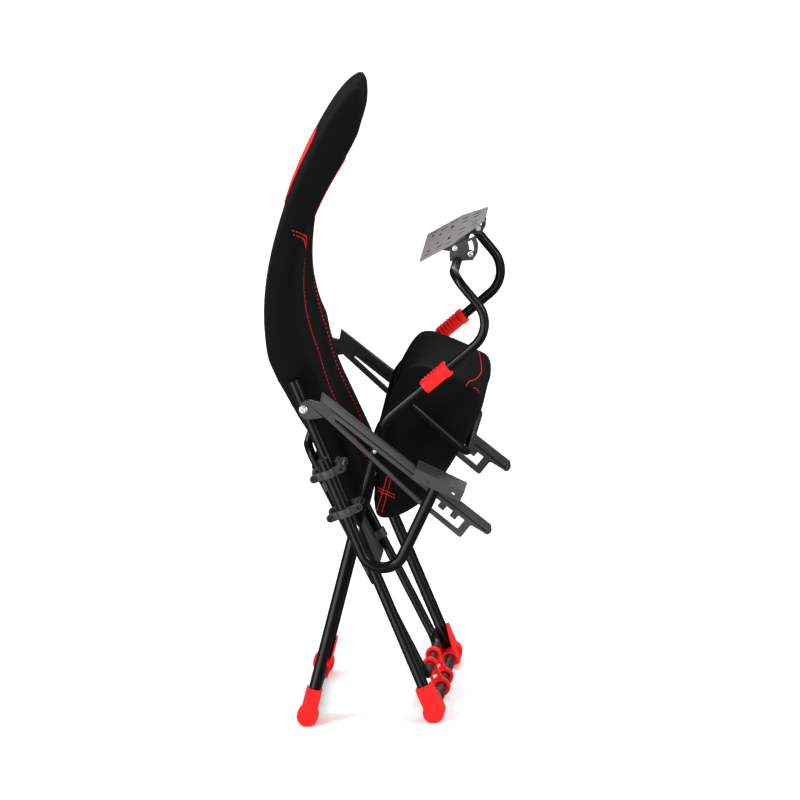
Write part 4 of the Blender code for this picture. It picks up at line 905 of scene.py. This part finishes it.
def bolt_shape(name, head_r, head, shank_r, length, tip=True):
    """A domed socket-head bolt with its head up at Z zero, its shank below and a nut at its tip."""
    profile = [(head_r * wide, head * high) for wide, high in HEAD_PROFILE] + [(shank_r, 0.0)]
    if tip:
        nut = head_r * NUT_SHARE
        profile += [(shank_r, -length + head), (nut, -length + head), (nut, -length + head * NUT_CHAMFER),
                    (nut * NUT_END, -length)]
    else:
        profile += [(shank_r, -length)]
    return turned(name, profile)


def lock_place():
    return (TILT_PIVOT[0] + TILT_LOCK_R * cos(TILT_LOCK_ANGLE),
            TILT_PIVOT[1] + TILT_LOCK_R * sin(TILT_LOCK_ANGLE))


def build_feet():
    """Moulded corner caps, open along their inner side so the leg shows between two fins."""
    low = FRAME_R + GROOVE_GAP
    for name, line, tube_y in (("front_foot", back_line, BACK_TUBE_Y), ("rear_foot", leg_line, LEG_TUBE_Y)):
        along = Vector((line(1.0) - line(0.0), 0, 1)).normalized()
        across = Vector((along.z, 0, -along.x))
        foot = Vector((line(CROSS_TUBE_Z), 0, CROSS_TUBE_Z)) + PIVOT
        for side, sign in SIDES:
            bm = bmesh.new()
            for u in (tube_y - GROOVE_REACH, tube_y + GROOVE_PAST):
                for v in (low, low + GROOVE_REACH):
                    for w in (-CAP_GROOVE, CAP_GROOVE):
                        bm.verts.new(foot + along * v + across * w + Vector((0, sign * u, 0)))
            bmesh.ops.convex_hull(bm, input=bm.verts)
            cutter = plain(bm, "groove")
            softened(f"{name}_{side}", CAP_EDGE, 3, cutter)
            bpy.data.objects.remove(cutter, do_unlink=True)


def build_clamp_knob():
    """The turned peg that stands on the front ear of the upper clamp."""
    height = CLAMP_HEIGHTS[1]
    ear = Vector((back_line(height), -PEG_Y, height)) + BACK_ACROSS * CLAMP_BOLT_OFFSET
    base = ear + BACK_UP * PEG_LIFT + PIVOT
    peg = turned("clamp_peg", PEG_PROFILE, 24)
    peg.data.transform(Matrix.Translation(base) @ BACK_UP.to_track_quat("Z", "Y").to_matrix().to_4x4())
    peg.data.materials.append(MATERIALS["black_steel"])
    settle(peg, [], BODY_OF["clamp_upper_outer"])


def build_bolts():
    """Mirrored pairs of zinc bolts with their heads outwards, and the four bolts of the clamps."""
    for name, kinds, spots, face_y, tail_y, head_r in (
            ("pivot_bolts", ("pivot_bolt",), [(0.0, PIVOT_HEIGHT)], *PIVOT_BOLT),
            ("arm_rivets", ("arm_rivet",), [(back_line(ARM_PIVOT_Z), ARM_PIVOT_Z)], *ARM_RIVET),
            ("tilt_bolts", ("tilt_bolt", "tilt_lock_bolt"), [TILT_PIVOT, lock_place()], *TILT_BOLT)):
        shape = bolt_shape(name + "_shape", head_r, BOLT_HEAD, BOLT_SHANK_R, face_y - tail_y)
        points = [Vector((x, sign * face_y, z)) + PIVOT for x, z in spots for _, sign in SIDES]
        ways = [(0, sign, 0) for _ in spots for _, sign in SIDES]
        made = repeated(name, shape, points, ways, MATERIALS["zinc_steel"])
        settle(made, pairs(*kinds))
    points = [Vector((back_line(height), -CLAMP_BOLT_Y, height)) + BACK_ACROSS * shift + PIVOT
              for height in CLAMP_HEIGHTS for shift in (-CLAMP_BOLT_OFFSET, CLAMP_BOLT_OFFSET)]
    shape = turned("clamp_bolt_shape", CLAMP_BOLT_PROFILE, 28)
    made = repeated("clamp_bolts", shape, points, [(0, -1, 0)] * len(points), MATERIALS["black_steel"])
    settle(made, [f"clamp_bolt_{row}_{end}" for row in ("lower", "upper") for end in ("rear", "front")])


def build_sleeves():
    """Red lock sleeves: a smooth barrel, an end collar and a row of finger ribs on top."""
    turn = UPPER.to_track_quat("Z", "Y").to_matrix().to_4x4()
    for side, sign in SIDES:
        base = SLEEVE_START + Vector((0, sign * LEG_TUBE_Y, 0)) + PIVOT
        barrel = turned(f"lock_barrel_{side}", SLEEVE_PROFILE, 40)
        barrel.data.transform(Matrix.Translation(base) @ turn)
        barrel.data.materials.append(MATERIALS["red_plastic"])
        settle(barrel, [f"lock_sleeve_{side}"])
        points = [base + UPPER * (RIB_START + RIB_PITCH * k) for k in range(RIB_COUNT)]
        ribs = repeated(f"lock_ribs_{side}", rib_shape(), points, [tuple(UPPER)] * RIB_COUNT,
                        MATERIALS["red_plastic"], spin=tuple(UPPER.cross(Vector((0, 1, 0)))))
        settle(ribs, [], BODY_OF[f"lock_sleeve_{side}"])


def rib_shape():
    """A bar that wraps half round a sleeve, thick in the middle and fading at its ends."""
    turns = [2 * pi * j / RIB_SIDES for j in range(RIB_SIDES)]
    rings = []
    for k in range(RIB_STEPS + 1):
        angle = radians(-RIB_WRAP + 2 * RIB_WRAP * k / RIB_STEPS)
        thick = RIB_RISE * max(RIB_FADE, sin(pi * k / RIB_STEPS)) ** 0.5
        out = Vector((cos(angle), sin(angle), 0))
        rings.append([out * (RIB_R + thick * cos(t)) + Vector((0, 0, RIB_HALF * sin(t))) for t in turns])
    bm = bmesh.new()
    skin(bm, rings)
    rib = outward(bm, "rib")
    smooth(rib.data, 60.0)
    return rib


def arm_point(u, v, y):
    """A point of a recline arm: u down its length, v up from its pivot line."""
    x = back_line(ARM_PIVOT_Z) + u * cos(ARM_SLOPE) - v * sin(ARM_SLOPE)
    return Vector((x, y, ARM_PIVOT_Z + u * sin(ARM_SLOPE) + v * cos(ARM_SLOPE))) + PIVOT


def prism(bm, outline, low, high, to_space, index=0):
    """A closed slab between two heights of an outline."""
    for face in skin(bm, [[to_space(u, v, w) for u, v in outline] for w in (low, high)]):
        face.material_index = index


def build_arm_bands():
    """Raised flanges on both faces of each arm, with a near-black strip of painted shade in the groove
    between them.
    """
    for side, sign in SIDES:
        bm = bmesh.new()
        for outline, rise, index in ARM_BANDS:
            short = [(max(u, ARM_INNER_START), v) for u, v in outline]
            for shape, face, out in ((outline, ARM_INNER_Y + ARM_THICK, 1), (short, ARM_INNER_Y, -1)):
                prism(bm, shape, face - out * BAND_SINK, face + out * rise,
                      lambda u, v, w: arm_point(u, v, sign * w), index)
        # The second finish is the painted shade of the groove strip
        source = outward(bm, f"arm_band_{side}_edges", MATERIALS["dark_grey_metal"], PAINTED_SLOT_SHADE)
        settle(edged(source, f"arm_flange_{side}", BAND_EDGE), [], BODY_OF[f"recline_arm_{side}"])


def build_clip_screws():
    """Two zinc screws across the neck of each pedal clip."""
    thick = Vector((back_line(CROSS_TUBE_Z), 0, CROSS_TUBE_Z))
    thin = Vector((LOOP_FOOT[0], 0, LOOP_FOOT[1]))
    neck = thick.lerp(thin, CLIP_NECK)
    spots = [(sign, way) for sign in (-1, 1) for way in (-1, 1)]
    points = [neck + Vector((0, sign * CLIP_Y + way * CLIP_SCREW_Y, 0)) + PIVOT for sign, way in spots]
    shape = bolt_shape("clip_screw_shape", *CLIP_SCREW, tip=False)
    made = repeated("clip_screws", shape, points, [(0, way, 0) for _, way in spots], MATERIALS["zinc_steel"])
    settle(made, [], BODY_OF["pedal_clip_right"])


# Padded pieces

def station_frame(station):
    points = [Vector((x, 0, z)) for z, x, _, _ in PAD_STATIONS]
    below = points[max(station - 1, 0)]
    above = points[min(station + 1, len(points) - 1)]
    tangent = (above - below).normalized()
    return points[station], Vector((tangent.z, 0, -tangent.x))


def through(points, closed, cuts):
    """A smooth line through points, with the same number of cuts between each pair."""
    count = len(points)
    if closed:
        knots = [points[-1]] + list(points) + [points[0], points[1]]
    else:
        knots = [points[0] * 2 - points[1]] + list(points) + [points[-1] * 2 - points[-2]]
    line = []
    for a, b, c, d in list(zip(knots, knots[1:], knots[2:], knots[3:]))[:count if closed else count - 1]:
        for k in range(cuts):
            t = k / cuts
            line.append((b * 2 + (c - a) * t + (a * 2 - b * 5 + c * 4 - d) * t * t
                         + (b * 3 - a - c * 3 + d) * t ** 3) / 2)
    return line if closed else line + [points[-1]]


def loft(rings, name):
    """A closed skin through rings of points, rounded both round and along."""
    lines = [through(line, False, 4) for line in zip(*rings)]
    bm = bmesh.new()
    skin(bm, [through(list(ring), True, 3) for ring in zip(*lines)])
    return outward(bm, name)


def back_cage():
    other = [(-w, d) for w, d in reversed(PAD_SECTION)]
    section = [(0, 0)] + list(PAD_SECTION) + [(0, PAD_CENTRE)] + other
    rings = []
    for station, (z, _, half, thick) in enumerate(PAD_STATIONS):
        rear, normal = station_frame(station)
        crown = PAD_CROWN * max(0.0, 1 - ((z - PAD_CROWN_Z) / PAD_CROWN_REACH) ** 2)
        ring = []
        for w, d in section:
            if d > PAD_FRONT_FROM:
                d += crown * max(0.0, 1 - (w / PAD_CROWN_SHARE) ** 2)
            out = d * (thick - PAD_SHRINK) + PAD_SHRINK / 2
            ring.append(rear + normal * out + Vector((0, w * (half - PAD_SHRINK), 0)) + PIVOT)
        rings.append(ring)
    return loft(rings, "back_cage")


def pan_cage():
    middle = sum((Vector((x, 0, z)) for x, z in PAN_OUTLINE), Vector()) / len(PAN_OUTLINE)
    right = [(-share, inset) for share, inset in PAN_ROUNDING]
    rings = []
    for share, inset in right + [(0.0, 0.0)] + list(reversed(PAN_ROUNDING)):
        crown = max(0.0, 1 - (share / PAN_CROWN_SHARE) ** 2)
        ring = []
        for k, (x, z) in enumerate(PAN_OUTLINE):
            point = Vector((x, 0, z))
            sink = inset + PAD_SHRINK / 2
            if k in PAN_SEAT_POINTS:
                sink += PAN_DISH * crown
            if k in PAN_BELLY_POINTS:
                sink -= PAN_BELLY * crown
            side = Vector((0, share * (PAN_HALF - PAD_SHRINK / 2), 0))
            ring.append(point + (middle - point).normalized() * sink + side + PIVOT)
        rings.append(ring)
    return loft(rings, "pan_cage")


def inflate(obj, voxel, cap, name):
    """Remesh a form evenly, swell it by cloth pressure, and keep each point's swell up to a cap."""
    add_modifier(obj, "REMESH", mode="VOXEL", voxel_size=voxel, use_smooth_shade=True)
    body = bake(obj, name)
    rest = [v.co.copy() for v in body.data.vertices]
    ways = [v.normal.copy() for v in body.data.vertices]
    settings = add_modifier(body, "CLOTH").settings
    for key, value in CUSHION_CLOTH.items():
        setattr(settings, key, value)
    settings.effector_weights.gravity = 0.0
    scene = bpy.context.scene
    for step in range(1, CUSHION_STEPS + 1):
        scene.frame_set(step)
    body = bake(body, name)
    scene.frame_set(1)
    for vertex, start, way in zip(body.data.vertices, rest, ways):
        swell = (vertex.co - start).dot(way)
        vertex.co = start + way * min(cap, max(0.0, swell))
    add_modifier(body, "SMOOTH", factor=0.5, iterations=3)
    add_modifier(body, "SUBSURF", levels=1, render_levels=1)
    return bake(body, name)


def groove(obj, paths, width, depth):
    """Press a soft seam into a pad along paths that lie on it, and give back the new surface."""
    points = [p for path in paths for p in path]
    tree = KDTree(len(points))
    for index, point in enumerate(points):
        tree.insert(point, index)
    tree.balance()
    normals = [v.normal.copy() for v in obj.data.vertices]
    for vertex, normal in zip(obj.data.vertices, normals):
        _, _, distance = tree.find(vertex.co)
        if distance < width:
            fall = 1 - (distance / width) ** 2
            vertex.co -= normal * (depth * fall * fall)
    obj.data.update()
    return surface(obj)


def surface(obj):
    return BVHTree.FromObject(obj, bpy.context.evaluated_depsgraph_get())


def dense(points):
    """A smooth path through points, cut into short steps."""
    return through([Vector(p) for p in points], False, 24)


def shone(tree, points, way, lift):
    """Drop points onto a surface along a direction and lift them off it a little."""
    way = Vector(way).normalized()
    landed = []
    for point in points:
        hit, normal, _, _ = tree.ray_cast(point - way * RAY_START, way)
        if hit is not None:
            landed.append(hit + normal * lift)
    return landed


def side_line(line):
    """A path drawn on the side of the seat pan."""
    return dense(place((x, 0, z) for x, z in line))


def cover(pad):
    pad.data.materials.clear()
    pad.data.materials.append(MATERIALS["black_fabric"])
    smooth(pad.data, 180.0)


def pad_half(z):
    for (z0, _, h0, _), (z1, _, h1, _) in zip(PAD_STATIONS, PAD_STATIONS[1:]):
        if z0 <= z <= z1:
            return h0 + (h1 - h0) * (z - z0) / (z1 - z0)
    return PAD_STATIONS[-1][2]


def seam_line(seam, sign):
    return [Vector((0.0, sign * share * pad_half(z), z)) + PIVOT for z, share in seam]


def stitches(name, path, row, body):
    """A row of stitches; row holds the pitch, the thread's radius and the filled share."""
    source = path_curve(name + "_path", path)
    made = run_tree(name, source, STITCH, {**row, "Material": THREAD})
    return settle(made, [], body)


def patch(name, tree, low, high, half, way, body):
    """A rounded cloth panel laid on the pad between two heights."""
    bm = bmesh.new()
    grid = []
    for i in range(PANEL_ROWS + 1):
        v = -1 + 2 * i / PANEL_ROWS
        reach = half * (1 - abs(v) ** 6) ** (1 / 6) if abs(v) < 1 else PANEL_END * half
        z = (low + high) / 2 + v * (high - low) / 2
        line = [Vector((0.0, (-1 + 2 * j / PANEL_COLUMNS) * reach, z)) + PIVOT
                for j in range(PANEL_COLUMNS + 1)]
        grid.append([bm.verts.new(p) for p in shone(tree, line, way, PANEL_LIFT)])
    for one, two in zip(grid, grid[1:]):
        for j in range(PANEL_COLUMNS):
            bm.faces.new((one[j], one[j + 1], two[j + 1], two[j]))
    source = outward(bm, name + "_sheet", RED_CLOTH)
    faces = source.data.polygons
    offset = 1.0 if faces[len(faces) // 2].normal.dot(Vector(way)) < 0 else -1.0
    add_modifier(source, "SOLIDIFY", thickness=PANEL_THICK, offset=offset)
    return settle(edged(source, name, SHEET_EDGE, sharp=50.0, corner=60), [], body)


def build_back_pad():
    body = BODY_OF["back_pad"]
    pad = inflate(back_cage(), BACK_VOXEL, BACK_SWELL, "back_cushion")
    tree = surface(pad)
    lines = [shone(tree, dense(seam_line(row, sign)), REARWARD, 0.0)
             for sign in (-1, 1) for row in TWIN_SEAM.values()]
    lines += [shone(tree, dense(seam_line(REAR_SEAM, sign)), FORWARD, 0.0) for sign in (-1, 1)]
    tree = groove(pad, lines, *BACK_GROOVE)
    cover(pad)
    for side, sign in SIDES:
        for row, seam in TWIN_SEAM.items():
            path = shone(tree, dense(seam_line(seam, sign)), REARWARD, BACK_STITCH_LIFT)
            stitches(f"back_stitch_{row}_{side}", path, BACK_STITCH, body)
    patch("head_panel_rear", tree, *HEAD_PANEL_REAR, FORWARD, body)
    patch("head_panel_front", tree, *HEAD_PANEL_FRONT, REARWARD, body)
    settle(pad, ["back_pad", "back_hoop"])


def build_seat_pan():
    body = BODY_OF["seat_pan_pad"]
    pad = inflate(pan_cage(), PAN_VOXEL, PAN_SWELL, "seat_cushion")
    tree = surface(pad)
    lines = [shone(tree, side_line(line), (0, -sign, 0), 0.0) for sign in (-1, 1) for line in PAN_SIDE_LINES]
    front = place((x, y, PAN_TOP) for x, y in PAN_FRONT_SEAM)
    corners = [place((x, sign * y, PAN_TOP) for x, y in PAN_CORNER_SEAM) for sign in (-1, 1)]
    lines.append(shone(tree, dense(front), DOWN, 0.0))
    tree = groove(pad, lines, *PAN_GROOVE)
    cover(pad)
    for side, sign in SIDES:
        for index, line in enumerate(PAN_SIDE_LINES + PAN_TACKS):
            path = shone(tree, side_line(line), (0, -sign, 0), PAN_STITCH_LIFT)
            stitches(f"pan_stitch_{side}_{index}", path, PAN_STITCH, body)
    for index, line in enumerate([front] + corners):
        path = shone(tree, dense(line), DOWN, PAN_STITCH_LIFT)
        stitches(f"pan_front_stitch_{index}", path, PAN_STITCH, body)
    settle(pad, ["seat_pan_pad"])


# Floor, light and camera

def build_stage():
    bm = bmesh.new()
    bmesh.ops.create_grid(bm, x_segments=1, y_segments=1, size=FLOOR_HALF)
    mat, tree, shader = principled("pale_floor", Roughness=0.95, Specular_IOR_Level=0.1)
    coords = add_node(tree, "ShaderNodeTexCoord").outputs["Object"]
    drift = add_node(tree, "ShaderNodeTexNoise", {"Scale": 3.0}, {"Vector": coords}).outputs["Fac"]
    tree.links.new(tint(tree, drift, *FLOOR_TONES), shader.inputs["Base Color"])
    floor = plain(bm, "floor", mat)
    floor.visible_glossy = False
    scene = bpy.context.scene
    scene.view_settings.view_transform = "Standard"
    scene.world = bpy.data.worlds.new("studio")
    scene.world.use_nodes = True
    studio = scene.world.node_tree
    sky = studio.nodes["Background"]
    sky.inputs["Color"].default_value = (1.0, 1.0, 1.0, 1.0)
    way = add_node(studio, "ShaderNodeTexCoord").outputs["Generated"]
    ahead = add_node(studio, "ShaderNodeVectorMath", {1: SOFTBOX_WAY}, {0: way}, operation="DOT_PRODUCT")
    softbox = add_node(studio, "ShaderNodeMapRange", SOFTBOX_FALL, {"Value": ahead.outputs["Value"]},
                       interpolation_type="SMOOTHSTEP")
    glossy = add_node(studio, "ShaderNodeLightPath").outputs["Is Glossy Ray"]
    shine = add_node(studio, "ShaderNodeMix", {"A": ROOM_LIGHT},
                     {"Factor": glossy, "B": softbox.outputs["Result"]})
    studio.links.new(shine.outputs["Result"], sky.inputs["Strength"])
    for name, where, aim, wide, tall, power in LAMPS:
        light = bpy.data.lights.new(name, "AREA")
        light.energy = power
        light.size = wide
        if tall:
            light.shape = "RECTANGLE"
            light.size_y = tall
        lamp = new_object(name, light)
        lamp.location = where
        lamp.rotation_euler = (Vector((0, 0, aim)) - Vector(where)).to_track_quat("-Z", "Y").to_euler()


def build_camera():
    right = Vector((cos(VIEW_TURN), sin(VIEW_TURN), 0))
    up = Vector((-sin(VIEW_TURN) * sin(VIEW_RISE), cos(VIEW_TURN) * sin(VIEW_RISE), cos(VIEW_RISE)))
    out = right.cross(up)
    rolled_right = right * cos(VIEW_ROLL) - up * sin(VIEW_ROLL)
    rolled_up = right * sin(VIEW_ROLL) + up * cos(VIEW_ROLL)
    data = bpy.data.cameras.new("camera")
    data.type = "ORTHO"
    data.ortho_scale = VIEW_WIDTH
    camera = bpy.data.objects.new("camera", data)
    bpy.context.scene.collection.objects.link(camera)
    turn = Matrix((rolled_right, rolled_up, out)).transposed().to_4x4()
    camera.matrix_world = Matrix.Translation(VIEW_CENTRE + out * VIEW_DISTANCE) @ turn
    bpy.context.scene.camera = camera


build_stage()
build_camera()
build_frame_tubes()
build_hoop_and_brace()
build_shifter_tube()
build_pedal_loop()
build_hard_parts()
paint_slot_shade()
build_feet()
build_clamps()
build_clamp_knob()
build_tilt_tabs()
build_bolts()
build_sleeves()
build_arm_bands()
build_clip_screws()
build_back_pad()
build_seat_pan()
